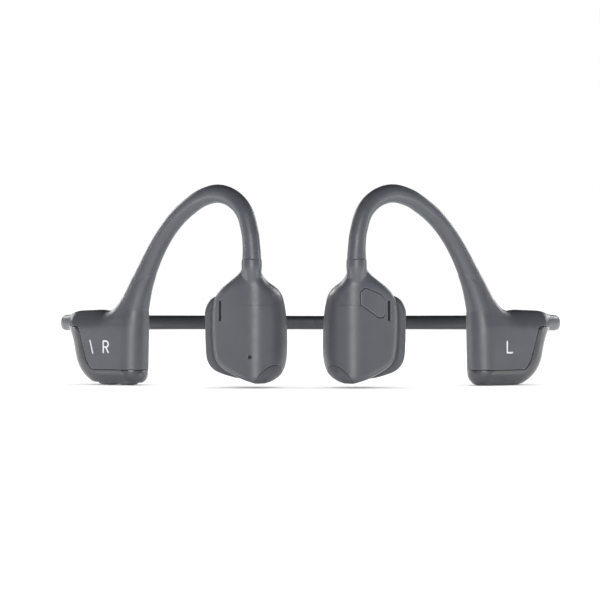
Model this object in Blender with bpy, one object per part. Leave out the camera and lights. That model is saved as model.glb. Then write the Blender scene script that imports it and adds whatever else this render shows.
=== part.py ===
"""Open-ear bone conduction headphones: a sprung neckband, two ear hooks, two rear housings and two speaker pods.

Lengths in the constants are millimetres, and MM turns them into the scene's metres.
+X is the wearer's left, -Y is the way the wearer faces, +Z is up. The headphones stand on their
housings and pods, with Z = 0 at the surface. Both arms come from the same functions: each piece
is built on the wearer's left and mirrored for the right.
"""

import math

import bmesh
import bpy
from mathutils import Matrix, Vector

MM = 0.001
GAP = 0.3                      # clearance between pieces that touch on the real object
WALL = 1.1                     # moulded wall thickness

# ---- arm plane: the vertical plane that holds an ear hook and its rear housing ----
ARM_ANGLE = math.radians(37.9)
ARM_ORIGIN = (12.5, -45.25)    # x, y of the hook's front leg

# ---- ear hook: centre line in the arm plane (u, z) and tube radius, front leg first ----
HOOK_PATH = (
    (0.0, 29.6, 2.4), (0.0, 32.0, 2.28), (0.6, 37.4, 2.05), (2.35, 42.1, 2.1), (5.9, 45.3, 2.18),
    (10.7, 46.68, 2.22), (15.9, 45.75, 2.15), (20.4, 43.5, 2.1), (24.1, 40.95, 2.1), (27.2, 38.0, 2.1),
    (29.8, 34.9, 2.18), (32.0, 31.7, 2.3), (34.05, 28.3, 2.48), (36.1, 24.8, 2.62), (37.5, 22.2, 2.66),
)
HOOK_FRONT_END_Z = 30.7
HOOK_REAR_END_Z = 24.7
# the bore goes on from the hook into the pod and into the housing (u, w, z)
BORE_IN_POD = ((0.8, -1.3, 20.6), (0.6, -1.0, 23.5), (0.2, -0.4, 27.0))
BORE_IN_HOUSING = ((38.9, 0.0, 18.6), (39.9, 0.0, 15.6))
BORE_R = 1.25
CORE_WIRE_R = 0.42
CABLE_R = 0.35
CABLE_OFFSET = 0.57            # the wire and the cable lie side by side in the bore

# ---- rear housing: stadium sections (z, front u, rear u, half thickness) ----
HOUSING_SECTIONS = (
    (0.0, 38.0, 48.4, 1.3), (0.45, 36.8, 51.1, 2.3), (1.2, 35.9, 52.6, 3.1), (2.4, 35.4, 54.1, 3.75),
    (3.9, 35.2, 55.4, 4.15), (7.5, 35.1, 56.9, 4.3), (12.5, 35.0, 58.1, 4.3), (15.6, 34.9, 58.2, 4.0),
    (17.2, 34.8, 55.0, 3.75), (18.2, 34.7, 47.0, 3.6), (19.7, 34.4, 43.4, 3.4), (22.2, 33.75, 41.0, 3.05),
    (24.7, 32.9, 39.3, 2.7),
)
CAVITY_BOTTOM_Z, CAVITY_TOP_Z = 1.3, 16.4
# the trim wraps the bottom and the rear edge: its seam in the arm plane (u, z)
TRIM_SEAM = ((30.0, 3.85), (48.9, 3.85), (50.4, 5.4), (51.9, 9.5), (53.1, 13.0), (62.0, 13.0))

# ---- neckband: straight out of the housing, an arc, then half an ellipse behind the neck ----
BAND_START_U = 55.5
BAND_STUB_LENGTH = 5.5         # buried in the housing
BAND_ARC_R = 14.0
BAND_REACH = 48.63             # y of the outermost face behind the neck
BAND_Z = (15.3, 14.9)          # at the housing, at the back
BAND_HALF_HEIGHT = (2.03, 1.85)
BAND_HALF_THICK = (1.9, 1.5)
BAND_BORE_R = 0.8
SEAM_STATION = 1.12
FLEX_STATION = 1.484           # the flex joint's place between arc end (1) and middle (2)
KNUCKLE_R = 1.72

# ---- pod: its own frame, a outwards along the back plane, b towards the head ----
POD_TURN = math.radians(8.0)
POD_ORIGIN = (4.97, -37.05)
POD_BACK_B = -0.6
INNER_A, INNER_FRONT_B = -0.75, -4.5
RIDGE_A, RIDGE_B = 6.3, -11.5
RIM_A, RIM_FRONT_B = 17.4, -2.3
POD_BOTTOM_Z, POD_TOP_Z = 0.95, 25.8
POD_ROUND_BOTTOM, POD_ROUND_TOP = 4.6, 2.6
POD_OUTLINE = (                # (z, inner x, outer x) in front view
    (POD_BOTTOM_Z, 9.6, 12.1), (1.2, 8.8, 12.9), (1.8, 7.1, 14.6), (2.5, 6.1, 16.2), (3.5, 5.1, 18.1),
    (4.8, 4.4, 20.0), (6.7, 3.85, 21.4), (9.5, 3.55, 21.95), (14.0, 3.65, 22.2), (18.5, 4.15, 22.2),
    (20.8, 4.7, 21.8), (22.2, 5.3, 20.95), (23.4, 6.0, 19.9), (24.6, 7.2, 18.6), (25.3, 8.4, 17.6),
    (POD_TOP_Z, 9.8, 16.4),
)
POD_CAVITY_Z = (2.3, 3.2, 4.8, 6.7, 9.5, 14.0, 18.5, 20.8, 21.6)
# neck that carries the hook: (z, u, half width, half thickness)
NECK_SECTIONS = ((30.7, 0.0, 2.35, 2.35), (29.0, 0.05, 2.55, 2.45), (27.0, 0.35, 3.2, 2.5),
                 (25.0, 0.7, 4.2, 2.5), (22.0, 0.8, 4.6, 2.2), (19.5, 0.8, 3.2, 1.6))
CAP_CENTRE, CAP_R = (6.7, -44.6, 0.0), 5.5       # a sphere cuts out the lower corner cover

# ---- bone conduction transducer: lathe profiles about an axis along b ----
TRANSDUCER_A, TRANSDUCER_Z = 6.8, 9.7
SPEAKER_A, SPEAKER_Z = 6.7, 18.3
PAD_OUTLINE = (                # (a, z) from the lower inner corner anticlockwise
    (5.2, 2.3), (10.0, 2.0), (14.3, 3.0), (17.0, 4.3), (18.5, 6.6), (18.9, 10.5), (18.95, 15.5),
    (18.9, 18.8), (16.9, 21.7), (11.5, 22.9), (6.7, 22.6), (3.8, 20.8), (2.7, 17.0), (2.5, 9.0), (3.2, 4.6),
)
PAD_FRONT_B, PAD_BACK_B = 1.8, 4.6
PLATE_B = (-1.35, -0.65)
STEM_R = 1.2

# ---- features of the pod's outer face: t inwards from the rim along the face, n out of it ----
SLOT_T, SLOT_Z, SLOT_SIZE = 1.9, 18.5, (0.7, 4.8)
BUTTON_T, BUTTON_Z = 6.3, 20.3
BUTTON_OUTLINE = (
    (-3.27, 0.6), (-3.27, -2.5), (-2.6, -3.4), (-1.27, -3.4), (3.44, -0.4), (3.44, 2.6), (2.26, 3.6), (-1.97, 2.1),
)
BUTTON_PROUD = 0.35
SWITCH_T = 5.0
MIC_T, MIC_Z, MIC_HOLE_R = 10.8, 7.5, 0.4

# ---- right housing controls ----
KEY_PROUD = 0.6
KEY_SLOT = (37.4, 50.0, 2.2)   # front u, rear u, half width
KEY_SPLIT_U = 43.2
LED_U, LED_Z, LED_SIZE, LED_TILT = 49.1, 9.4, (0.5, 3.8), math.radians(17)
PORT_U, PORT_Z = 44.5, 9.8
PORT_SHELL, PORT_MOUTH = (8.94, 3.26), (8.34, 2.56)

COLOURS = {                    # base colour, metallic, roughness
    "soft_touch_grey": ((0.105, 0.115, 0.14), 0.0, 0.55),
    "trim_grey": ((0.13, 0.14, 0.165), 0.0, 0.25),
    "band_silicone": ((0.055, 0.057, 0.068), 0.0, 0.5),
    "pad_silicone": ((0.10, 0.105, 0.125), 0.0, 0.6),
    "vent_mesh": ((0.03, 0.03, 0.035), 0.3, 0.5),
    "spring_wire": ((0.55, 0.54, 0.52), 1.0, 0.3),
    "steel": ((0.5, 0.5, 0.5), 1.0, 0.35),
    "magnet": ((0.35, 0.35, 0.36), 1.0, 0.3),
    "copper": ((0.7, 0.35, 0.18), 1.0, 0.35),
    "cable_jacket": ((0.02, 0.02, 0.02), 0.0, 0.5),
    "frame_plastic": ((0.03, 0.03, 0.033), 0.0, 0.5),
    "board": ((0.02, 0.09, 0.05), 0.0, 0.4),
    "cell": ((0.25, 0.26, 0.3), 0.6, 0.35),
    "diaphragm": ((0.6, 0.6, 0.55), 0.0, 0.35),
    "light_guide": ((0.8, 0.8, 0.82), 0.0, 0.2),
}


# ---------------------------------------------------------------- frames

def arm_point(u, w, z):
    """A point of the arm's frame: u rearwards in the arm plane, w outwards from the head, z up."""
    x = ARM_ORIGIN[0] + u * math.cos(ARM_ANGLE) + w * math.sin(ARM_ANGLE)
    y = ARM_ORIGIN[1] + u * math.sin(ARM_ANGLE) - w * math.cos(ARM_ANGLE)
    return Vector((x, y, z))


def pod_point(a, b, z):
    """A point of the pod's frame."""
    x = POD_ORIGIN[0] + a * math.cos(POD_TURN) + b * math.sin(POD_TURN)
    y = POD_ORIGIN[1] - a * math.sin(POD_TURN) + b * math.cos(POD_TURN)
    return Vector((x, y, z))


FACE_ANGLE = math.atan2(RIM_FRONT_B - RIDGE_B, RIM_A - RIDGE_A)


def face_point(t, n, z):
    """A point of the outer face's frame: t inwards from the rim, n out of the face."""
    a = RIM_A - t * math.cos(FACE_ANGLE) + n * math.sin(FACE_ANGLE)
    b = RIM_FRONT_B - t * math.sin(FACE_ANGLE) - n * math.cos(FACE_ANGLE)
    return pod_point(a, b, z)


def pod_a(x):
    """The pod frame's a for a place x in front view, near the back plane."""
    return (x - POD_ORIGIN[0] + 1.5 * math.sin(POD_TURN)) / math.cos(POD_TURN)


def mix(pair, share):
    return pair[0] + (pair[1] - pair[0]) * share


def band_frame(station):
    """Centre, outward normal and half sizes of the band.

    Station -1 is the buried end of the stub, 0 leaves the arm plane, 1 ends the arc and
    2 is the middle behind the neck.
    """
    share = max(station, 0) / 2
    z = mix(BAND_Z, share)
    start = arm_point(BAND_START_U, 0, z)
    if station <= 0:
        heading = ARM_ANGLE
        centre = arm_point(BAND_START_U + station * BAND_STUB_LENGTH, 0, z)
    elif station <= 1:
        heading = mix((ARM_ANGLE, math.pi / 2), station)
        centre = start + Vector((math.sin(heading) - math.sin(ARM_ANGLE),
                                 math.cos(ARM_ANGLE) - math.cos(heading), 0)) * BAND_ARC_R
    else:
        half_width = start.x + BAND_ARC_R * (1 - math.sin(ARM_ANGLE))
        centre_y = start.y + BAND_ARC_R * math.cos(ARM_ANGLE)
        depth = BAND_REACH - BAND_HALF_THICK[1] - centre_y
        angle = (station - 1) * math.pi / 2
        heading = math.atan2(depth * math.cos(angle), -half_width * math.sin(angle))
        centre = Vector((half_width * math.cos(angle), centre_y + depth * math.sin(angle), z))
    normal = Vector((math.sin(heading), -math.cos(heading), 0))
    return centre, normal, mix(BAND_HALF_HEIGHT, share), mix(BAND_HALF_THICK, share)


# ---------------------------------------------------------------- outlines and rings

def circle(radius, count):
    return [(radius * math.cos(2 * math.pi * i / count), radius * math.sin(2 * math.pi * i / count))
            for i in range(count)]


def rounded_polygon(corners, radii, steps):
    """Points of a polygon whose corners are rounded by arcs of steps + 1 points."""
    points = []
    count = len(corners)
    for i in range(count):
        corner = Vector(corners[i])
        before = Vector(corners[i - 1]) - corner
        after = Vector(corners[(i + 1) % count]) - corner
        half = before.angle(after) / 2
        tangent = min(radii[i] / math.tan(half), 0.45 * before.length, 0.45 * after.length)
        radius = tangent * math.tan(half)
        middle = (before.normalized() + after.normalized()).normalized()
        centre = corner + middle * (radius / math.sin(half))
        start = corner + before.normalized() * tangent - centre
        sweep = math.pi - 2 * half
        if start.x * after.y - start.y * after.x < 0:
            sweep = -sweep
        for k in range(steps + 1):
            turn = sweep * k / steps
            x = start.x * math.cos(turn) - start.y * math.sin(turn)
            y = start.x * math.sin(turn) + start.y * math.cos(turn)
            points.append((centre.x + x, centre.y + y))
    return points


def inset(outline, distance):
    """The outline moved inwards; it runs anticlockwise."""
    moved = []
    count = len(outline)
    for i in range(count):
        before = (Vector(outline[i]) - Vector(outline[i - 1])).normalized()
        after = (Vector(outline[(i + 1) % count]) - Vector(outline[i])).normalized()
        inwards = Vector((-before.y - after.y, before.x + after.x))
        inwards /= inwards.length * math.cos(before.angle(after) / 2)
        moved.append(tuple(Vector(outline[i]) + inwards * distance))
    return moved


def smooth_line(points, parts, closed=False):
    """Points with parts - 1 more between each pair, on a Catmull-Rom curve."""
    count = len(points)
    result = []
    for i in range(count if closed else count - 1):
        if closed:
            four = [Vector(points[(i + k) % count]) for k in (-1, 0, 1, 2)]
        else:
            four = [Vector(points[min(max(i + k, 0), count - 1)]) for k in (-1, 0, 1, 2)]
        for k in range(parts):
            f = k / parts
            result.append(0.5 * (2 * four[1] + (four[2] - four[0]) * f
                                 + (2 * four[0] - 5 * four[1] + 4 * four[2] - four[3]) * f * f
                                 + (3 * four[1] - four[0] - 3 * four[2] + four[3]) * f ** 3))
    if not closed:
        result.append(Vector(points[-1]))
    return result


def stadium_ring(z, front, rear, half_thickness, steps=9):
    """A ring of the housing: straight sides and round ends, in the arm's frame."""
    ring = []
    for centre, first in ((rear - half_thickness, -90), (front + half_thickness, 90)):
        for k in range(steps + 1):
            angle = math.radians(first + 180 * k / steps)
            ring.append(arm_point(centre + half_thickness * math.cos(angle), half_thickness * math.sin(angle), z))
    return ring


def ellipse_ring(z, u, half_width, half_thickness, count=16):
    return [arm_point(u + half_width * x, half_thickness * y, z) for x, y in circle(1, count)]


def band_ring(station, swell=0.0, count=14):
    """A section of the band: a rounded oblong, taller than thick."""
    centre, normal, half_height, half_thick = band_frame(station)
    ring = []
    for x, y in circle(1, count):
        out = math.copysign(abs(x) ** 0.75, x) * (half_thick + swell)
        up = math.copysign(abs(y) ** 0.75, y) * (half_height + swell)
        ring.append(centre + normal * out + Vector((0, 0, up)))
    return ring


def pod_ring(z, wall=0.0, back=POD_BACK_B):
    """A ring of the pod: a wedge whose outer face runs from the ridge to a thin outer rim."""
    levels = [row[0] for row in POD_OUTLINE]
    i = max(k for k in range(len(levels) - 1) if levels[k] <= z)
    share = (z - levels[i]) / (levels[i + 1] - levels[i])
    inner = pod_a(mix((POD_OUTLINE[i][1], POD_OUTLINE[i + 1][1]), share)) + wall
    outer = pod_a(mix((POD_OUTLINE[i][2], POD_OUTLINE[i + 1][2]), share)) - wall
    inner_slope = (INNER_FRONT_B - RIDGE_B) / (RIDGE_A - INNER_A)
    face_slope = math.tan(FACE_ANGLE)
    inner_back = wall * math.hypot(1, inner_slope)
    face_back = wall * math.hypot(1, face_slope)
    ridge_a = RIDGE_A + (face_back - inner_back) / (inner_slope + face_slope)
    ridge_b = RIDGE_B - (ridge_a - RIDGE_A) * inner_slope + inner_back
    corners = [
        (inner, back),
        (inner, INNER_FRONT_B - (inner - INNER_A) * inner_slope + inner_back),
        (ridge_a, ridge_b),
        (outer, RIM_FRONT_B - (RIM_A - outer) * face_slope + face_back),
        (outer, back),
    ]
    radii = [0.8, 4.0 - wall, 2.0 - wall / 2, 0.5, 0.4]
    depth = POD_BACK_B - RIDGE_B
    low = max(POD_BOTTOM_Z + POD_ROUND_BOTTOM - z, 0)
    high = max(POD_ROUND_TOP - (POD_TOP_Z - z), 0)
    cut = POD_ROUND_BOTTOM - math.sqrt(POD_ROUND_BOTTOM ** 2 - low ** 2)
    cut += POD_ROUND_TOP - math.sqrt(POD_ROUND_TOP ** 2 - high ** 2)
    scale = 1 - cut / depth
    ring = []
    for a, b in rounded_polygon(corners, radii, 4):
        if b < POD_BACK_B:
            b = POD_BACK_B + (b - POD_BACK_B) * scale
        ring.append(pod_point(a, b, z))
    return ring


def lathe_rings(profile, a, z, count):
    """Rings about an axis along b: profile rows are (radius, b)."""
    return [[pod_point(a + x, b, z + y) for x, y in circle(radius, count)] for radius, b in profile]


def prism_rings(place, outline, low, high):
    """Two rings of a prism: place turns an outline point and a height into a point."""
    return [[place(p, height) for p in outline] for height in (low, high)]


# ---------------------------------------------------------------- meshes

def make_materials():
    for name, (colour, metallic, roughness) in COLOURS.items():
        material = bpy.data.materials.new(name)
        material.use_nodes = True
        shader = material.node_tree.nodes["Principled BSDF"]
        shader.inputs["Base Color"].default_value = (*colour, 1)
        shader.inputs["Metallic"].default_value = metallic
        shader.inputs["Roughness"].default_value = roughness
        material.diffuse_color = (*colour, 1)


def loft(name, rings, material, closed=False):
    """A solid through rings of equal count; closed joins the last ring to the first, without caps."""
    count = len(rings[0])
    vertices = [point * MM for ring in rings for point in ring]
    faces = []
    for i in range(len(rings) if closed else len(rings) - 1):
        j = (i + 1) % len(rings)
        for k in range(count):
            m = (k + 1) % count
            faces.append((i * count + k, i * count + m, j * count + m, j * count + k))
    if not closed:
        faces.append(tuple(range(count)))
        faces.append(tuple((len(rings) - 1) * count + k for k in reversed(range(count))))
    mesh = bpy.data.meshes.new(name)
    mesh.from_pydata([tuple(v) for v in vertices], [], faces)
    face_outwards(mesh)
    mesh.materials.append(bpy.data.materials[material])
    piece = bpy.data.objects.new(name, mesh)
    bpy.context.scene.collection.objects.link(piece)
    return piece


def face_outwards(mesh):
    work = bmesh.new()
    work.from_mesh(mesh)
    bmesh.ops.recalc_face_normals(work, faces=work.faces)
    if work.calc_volume(signed=True) < 0:
        bmesh.ops.reverse_faces(work, faces=work.faces)
    work.to_mesh(mesh)
    work.free()


def combine(piece, tool, operation):
    """Applies a Boolean to the piece and removes the tool."""
    cut = piece.modifiers.new("cut", "BOOLEAN")
    cut.operation = operation
    cut.solver = "EXACT"
    cut.object = tool
    bpy.context.view_layer.update()
    result = bpy.data.meshes.new_from_object(piece.evaluated_get(bpy.context.evaluated_depsgraph_get()))
    piece.modifiers.clear()
    piece.data = result
    bpy.data.objects.remove(tool)
    return piece


def copy_of(piece, name):
    twin = piece.copy()
    twin.data = piece.data.copy()
    twin.name = name
    bpy.context.scene.collection.objects.link(twin)
    return twin


def block(name, place, centre, size, material):
    """A box in any of the frames: place takes three coordinates in the frame's own order."""
    half = [s / 2 for s in size]
    corners = ((-1, -1), (1, -1), (1, 1), (-1, 1))
    rings = [[place(centre[0] + i * half[0], centre[1] + j * half[1], centre[2] + k * half[2])
              for i, j in corners] for k in (-1, 1)]
    return loft(name, rings, material)


def tube(name, line, radii, sides, material):
    """A round tube along points of the arm's frame."""
    world = [arm_point(*point) for point in line]
    out = Vector((math.sin(ARM_ANGLE), -math.cos(ARM_ANGLE), 0))
    rings = []
    for i, centre in enumerate(world):
        tangent = (world[min(i + 1, len(world) - 1)] - world[max(i - 1, 0)]).normalized()
        side = tangent.cross(out).normalized()
        front = side.cross(tangent)
        rings.append([centre + (side * x + front * y) * radii[i] for x, y in circle(1, sides)])
    return loft(name, rings, material)


def pod_disc(name, profile, a, z, material, count=20, closed=False):
    return loft(name, lathe_rings(profile, a, z, count), material, closed)


# ---------------------------------------------------------------- the arm's pieces

def hook_line(parts):
    """The whole bore's centre line (u, w, z), from the pod to the housing."""
    middle = [(u, 0.0, z) for u, z, r in HOOK_PATH[1:-1]]
    points = [*BORE_IN_POD, (0.0, 0.0, 30.7), *middle, *BORE_IN_HOUSING]
    return smooth_line(points, parts)


def bore_tool():
    line = hook_line(1)
    return tube("bore_tool", line, [BORE_R] * len(line), 10, "frame_plastic")


def add_hook(prefix):
    rows = smooth_line(HOOK_PATH, 2)
    hook = tube(prefix + "ear_hook", [(u, 0, z) for u, z, r in rows], [row[2] for row in rows], 16,
                "soft_touch_grey")
    for u, top in ((0, HOOK_FRONT_END_Z), (38, HOOK_REAR_END_Z)):
        combine(hook, block("end_tool", arm_point, (u, 0, top + GAP - 5), (20, 12, 10), "frame_plastic"),
                "DIFFERENCE")
    combine(hook, bore_tool(), "DIFFERENCE")
    pieces = [hook]
    line = hook_line(1)[1:]
    for label, offset, radius, material in (("hook_wire", -CABLE_OFFSET, CORE_WIRE_R, "spring_wire"),
                                            ("hook_cable", CABLE_OFFSET, CABLE_R, "cable_jacket")):
        pieces.append(tube(prefix + label, [(u, w + offset, z) for u, w, z in line], [radius] * len(line), 8,
                           material))
    return pieces


def add_housing(prefix, right):
    shell = loft(prefix + "housing_shell", [stadium_ring(*row) for row in HOUSING_SECTIONS], "soft_touch_grey")
    stub = [band_ring(station) for station in (-1, -0.5, 0, 0.2, 0.4, 0.6, 0.8, 1, SEAM_STATION)]
    combine(shell, loft("stub_tool", stub, "soft_touch_grey"), "UNION")
    levels = [row for row in HOUSING_SECTIONS if 2.0 < row[0] < CAVITY_TOP_Z]
    levels = [(CAVITY_BOTTOM_Z, *HOUSING_SECTIONS[2][1:]), *levels, (CAVITY_TOP_Z, *HOUSING_SECTIONS[8][1:])]
    cavity = [stadium_ring(z, front + WALL, rear - WALL, half - WALL) for z, front, rear, half in levels]
    combine(shell, loft("cavity_tool", cavity, "frame_plastic"), "DIFFERENCE")
    combine(shell, bore_tool(), "DIFFERENCE")
    bore = []
    for station in (-0.9, -0.3, 0, 0.25, 0.5, 0.75, 1, 1.06, 1.12, SEAM_STATION + 0.05):
        centre, normal, half_height, half_thick = band_frame(station)
        bore.append([centre + normal * x + Vector((0, 0, y)) for x, y in circle(BAND_BORE_R, 10)])
    combine(shell, loft("band_bore_tool", bore, "frame_plastic"), "DIFFERENCE")

    trim = copy_of(shell, prefix + "housing_trim")
    trim.data.materials.clear()
    trim.data.materials.append(bpy.data.materials["trim_grey"])
    below = [*TRIM_SEAM, (62.0, -2.0), (30.0, -2.0)]
    for piece, shift, operation in ((shell, GAP / 2, "DIFFERENCE"), (trim, -GAP / 2, "INTERSECT")):
        outline = [(u - shift, z + shift) if z > 0 else (u, z) for u, z in below]
        rings = prism_rings(lambda p, w: arm_point(p[0], w, p[1]), outline, -7, 7)
        combine(piece, loft("seam_tool", rings, "frame_plastic"), operation)
    pieces = [shell, trim]
    if right:
        combine(trim, block("foot_tool", arm_point, (44, 0, KEY_PROUD - 2), (30, 12, 4), "frame_plastic"),
                "DIFFERENCE")
        slot = [stadium_ring(z, *KEY_SLOT, steps=6) for z in (-1, 3)]
        combine(trim, loft("key_slot_tool", slot, "frame_plastic"), "DIFFERENCE")
        combine(shell, led_slab("led_tool", GAP, (2.6, 5.5)), "DIFFERENCE")
        combine(shell, port_prism("port_tool", PORT_SHELL, GAP, (-6, -2.6)), "DIFFERENCE")
    return pieces


def led_slab(name, growth, reach):
    """The slanted lamp slit in the outer face, grown by a clearance."""
    half = [s / 2 + growth / 2 for s in LED_SIZE]
    corners = []
    for i, j in ((-1, -1), (1, -1), (1, 1), (-1, 1)):
        x, y = i * half[0], j * half[1]
        corners.append((LED_U + x * math.cos(LED_TILT) - y * math.sin(LED_TILT) * -1,
                        LED_Z - x * math.sin(LED_TILT) + y * math.cos(LED_TILT)))
    return loft(name, prism_rings(lambda p, w: arm_point(p[0], w, p[1]), corners, *reach), "light_guide")


def port_outline(size, growth):
    x, y = size[0] / 2 + growth, size[1] / 2 + growth
    outline = rounded_polygon([(-x, -y), (x, -y), (x, y), (-x, y)], [y * 0.8] * 4, 3)
    return [(PORT_U + u, PORT_Z + z) for u, z in outline]


def port_prism(name, size, growth, reach):
    rings = prism_rings(lambda p, w: arm_point(p[0], w, p[1]), port_outline(size, growth), *reach)
    return loft(name, rings, "steel")


def add_band_end(prefix):
    """The sleeve between the housing and the flex joint, with its knuckle and core wire."""
    first = SEAM_STATION + 0.02
    stations = [first, 1.22, 1.31, 1.4, FLEX_STATION]
    sleeve = loft(prefix + "band_end_sleeve", [band_ring(s) for s in stations], "band_silicone")
    centre, normal, half_height, half_thick = band_frame(FLEX_STATION)
    knuckle = [[centre + Vector((x, y, z)) for x, y in circle(KNUCKLE_R, 16)] for z in (-half_height, half_height)]
    combine(sleeve, loft("knuckle_tool", knuckle, "band_silicone"), "UNION")
    last = FLEX_STATION - 0.06
    bore = []
    wire = []
    for station in (1.06, 1.12, 1.2, 1.3, last):
        centre, normal = band_frame(station)[:2]
        bore.append([centre + normal * x + Vector((0, 0, y)) for x, y in circle(BAND_BORE_R, 8)])
    combine(sleeve, loft("bore_tool", bore, "frame_plastic"), "DIFFERENCE")
    for station in (-0.75, -0.3, 0, 0.25, 0.5, 0.75, 1, 1.06, 1.12, 1.2, 1.3, last - 0.02):
        centre, normal = band_frame(station)[:2]
        wire.append([centre + normal * x + Vector((0, 0, y)) for x, y in circle(CORE_WIRE_R, 8)])
    return [sleeve, loft(prefix + "band_end_wire", wire, "spring_wire")]


def add_pod(prefix, right):
    shell = loft(prefix + "pod_shell", [pod_ring(row[0]) for row in POD_OUTLINE], "soft_touch_grey")
    neck = [ellipse_ring(*row) for row in NECK_SECTIONS]
    combine(shell, loft("neck_tool", neck, "soft_touch_grey"), "UNION")
    cavity = [pod_ring(z, WALL, 1.0) for z in POD_CAVITY_Z]
    combine(shell, loft("cavity_tool", cavity, "frame_plastic"), "DIFFERENCE")
    combine(shell, bore_tool(), "DIFFERENCE")

    cap = copy_of(shell, prefix + "pod_corner_cap")
    cap.data.materials.clear()
    cap.data.materials.append(bpy.data.materials["frame_plastic"])
    for piece, radius, operation in ((shell, CAP_R + 0.1, "DIFFERENCE"), (cap, CAP_R - 0.1, "INTERSECT")):
        combine(piece, ball("cap_tool", CAP_CENTRE, radius), operation)

    slot = block("slot_tool", face_point, (SLOT_T, -0.6, SLOT_Z), (SLOT_SIZE[0], 3.0, SLOT_SIZE[1]), "frame_plastic")
    combine(shell, slot, "DIFFERENCE")
    mesh = block(prefix + "vent_mesh", face_point, (SLOT_T - 0.1, -1.5, SLOT_Z), (0.9, 0.2, SLOT_SIZE[1] + 0.8),
                 "vent_mesh")
    pieces = [shell, cap, mesh]
    if right:
        hole = [[face_point(MIC_T + x, n, MIC_Z + y) for x, y in circle(MIC_HOLE_R, 8)] for n in (-2.0, 1.0)]
        combine(shell, loft("mic_tool", hole, "frame_plastic"), "DIFFERENCE")
        pieces.append(block(prefix + "microphone", face_point, (MIC_T, -2.0, MIC_Z), (2.6, 1.0, 2.2), "steel"))
    else:
        for growth, reach in ((GAP, (-2.0, 2.0)), (0.85, (-4.4, -WALL))):
            combine(shell, button_prism("button_tool", growth, reach), "DIFFERENCE")
        pieces.append(block(prefix + "button_switch", face_point, (SWITCH_T, -3.3, BUTTON_Z), (2.8, 1.2, 2.6), "steel"))
        plunger = block("plunger_tool", face_point, (SWITCH_T, -2.7, BUTTON_Z), (1.2, 0.6, 1.2), "steel")
        combine(pieces[-1], plunger, "UNION")

    outline = []
    inner_levels = (2.6, 4.0, 6.6, 9.5, 14.0, 18.5, 20.8)
    for z in inner_levels:
        outline.append((max(p[0] for p in plate_span(z)), z))
    for z in reversed(inner_levels):
        outline.append((min(p[0] for p in plate_span(z)), z))
    plate = loft(prefix + "pod_back_plate", prism_rings(lambda p, b: pod_point(p[0], b, p[1]), outline, *PLATE_B),
                 "frame_plastic")
    combine(plate, pod_disc("stem_hole_tool", ((STEM_R + 0.7, -3), (STEM_R + 0.7, 1)), TRANSDUCER_A, TRANSDUCER_Z,
                            "frame_plastic", 16), "DIFFERENCE")
    pieces.append(plate)
    return pieces


def plate_span(z):
    """Ends of the back plate at height z, inside the shell's wall."""
    levels = [row for row in POD_OUTLINE if row[0] <= z]
    following = [row for row in POD_OUTLINE if row[0] > z]
    share = (z - levels[-1][0]) / (following[0][0] - levels[-1][0])
    inner = pod_a(mix((levels[-1][1], following[0][1]), share)) + WALL + GAP
    outer = pod_a(mix((levels[-1][2], following[0][2]), share)) - WALL - GAP
    return ((inner, z), (outer, z))


def ball(name, centre, radius, columns=20, rows=12):
    """A ball of rings with small end caps."""
    rings = []
    for i in range(rows + 1):
        angle = math.pi * (i + 0.25) / (rows + 0.5)
        z = centre[2] - radius * math.cos(angle)
        rings.append([Vector((centre[0] + radius * math.sin(angle) * x, centre[1] + radius * math.sin(angle) * y, z))
                      for x, y in circle(1, columns)])
    return loft(name, rings, "frame_plastic")


def button_prism(name, growth, reach):
    outline = [(BUTTON_T + t, BUTTON_Z + z) for t, z in inset(BUTTON_OUTLINE, -growth)]
    return loft(name, prism_rings(lambda p, n: face_point(p[0], n, p[1]), outline, *reach), "soft_touch_grey")


def add_button(prefix):
    """The multifunction button with a flange that keeps it in the pod."""
    button = button_prism(prefix + "multifunction_button", 0, (-1.65, BUTTON_PROUD))
    combine(button, button_prism("flange_tool", 0.5, (-1.65, -WALL - GAP)), "UNION")
    return button


def add_speaker(prefix):
    driver = ((2.3, -6.3), (2.3, -5.7), (3.0, -5.7), (3.0, -3.6), (2.6, -3.6), (2.6, -4.4))
    dome = ((2.3, -4.1), (2.3, -3.95), (1.2, -3.7))
    return [pod_disc(prefix + "speaker_driver", driver, SPEAKER_A, SPEAKER_Z, "steel"),
            pod_disc(prefix + "speaker_diaphragm", dome, SPEAKER_A, SPEAKER_Z, "diaphragm", 16)]


def add_transducer(prefix):
    """The fixed half: yoke, magnet, flat spring and the soft surround of the pad."""
    cup = ((4.8, -5.2), (4.8, -3.0), (4.2, -3.0), (4.2, -4.6))
    magnet = ((2.8, -4.3), (2.8, -3.2))
    ring = ((4.6, -1.85), (4.6, -1.65), (1.7, -1.65), (1.7, -1.85))
    spring = pod_disc(prefix + "transducer_spring", ring, TRANSDUCER_A, TRANSDUCER_Z, "steel", 24, True)
    for i in range(3):
        angle = 2 * math.pi * i / 3
        across = Vector((math.cos(angle), math.sin(angle)))
        along = Vector((-across.y, across.x))
        corners = [across * r + along * s for r, s in ((2.6, -1.6), (3.2, -1.6), (3.2, 1.6), (2.6, 1.6))]
        rings = [[pod_point(TRANSDUCER_A + c.x, b, TRANSDUCER_Z + c.y) for c in corners] for b in (-3, 0)]
        combine(spring, loft("spring_slot_tool", rings, "steel"), "DIFFERENCE")
    outline = pad_outline()
    outer, hole = inset(outline, 1.2), inset(outline, 2.6)
    rings = []
    for line, b in ((outer, -0.3), (outer, 1.5), (hole, 1.5), (hole, -0.3)):
        rings.append([pod_point(a, b, z) for a, z in line])
    return [pod_disc(prefix + "transducer_yoke", cup, TRANSDUCER_A, TRANSDUCER_Z, "steel", 24),
            pod_disc(prefix + "transducer_magnet", magnet, TRANSDUCER_A, TRANSDUCER_Z, "magnet"),
            spring, loft(prefix + "pad_surround", rings, "frame_plastic", True)]


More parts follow.
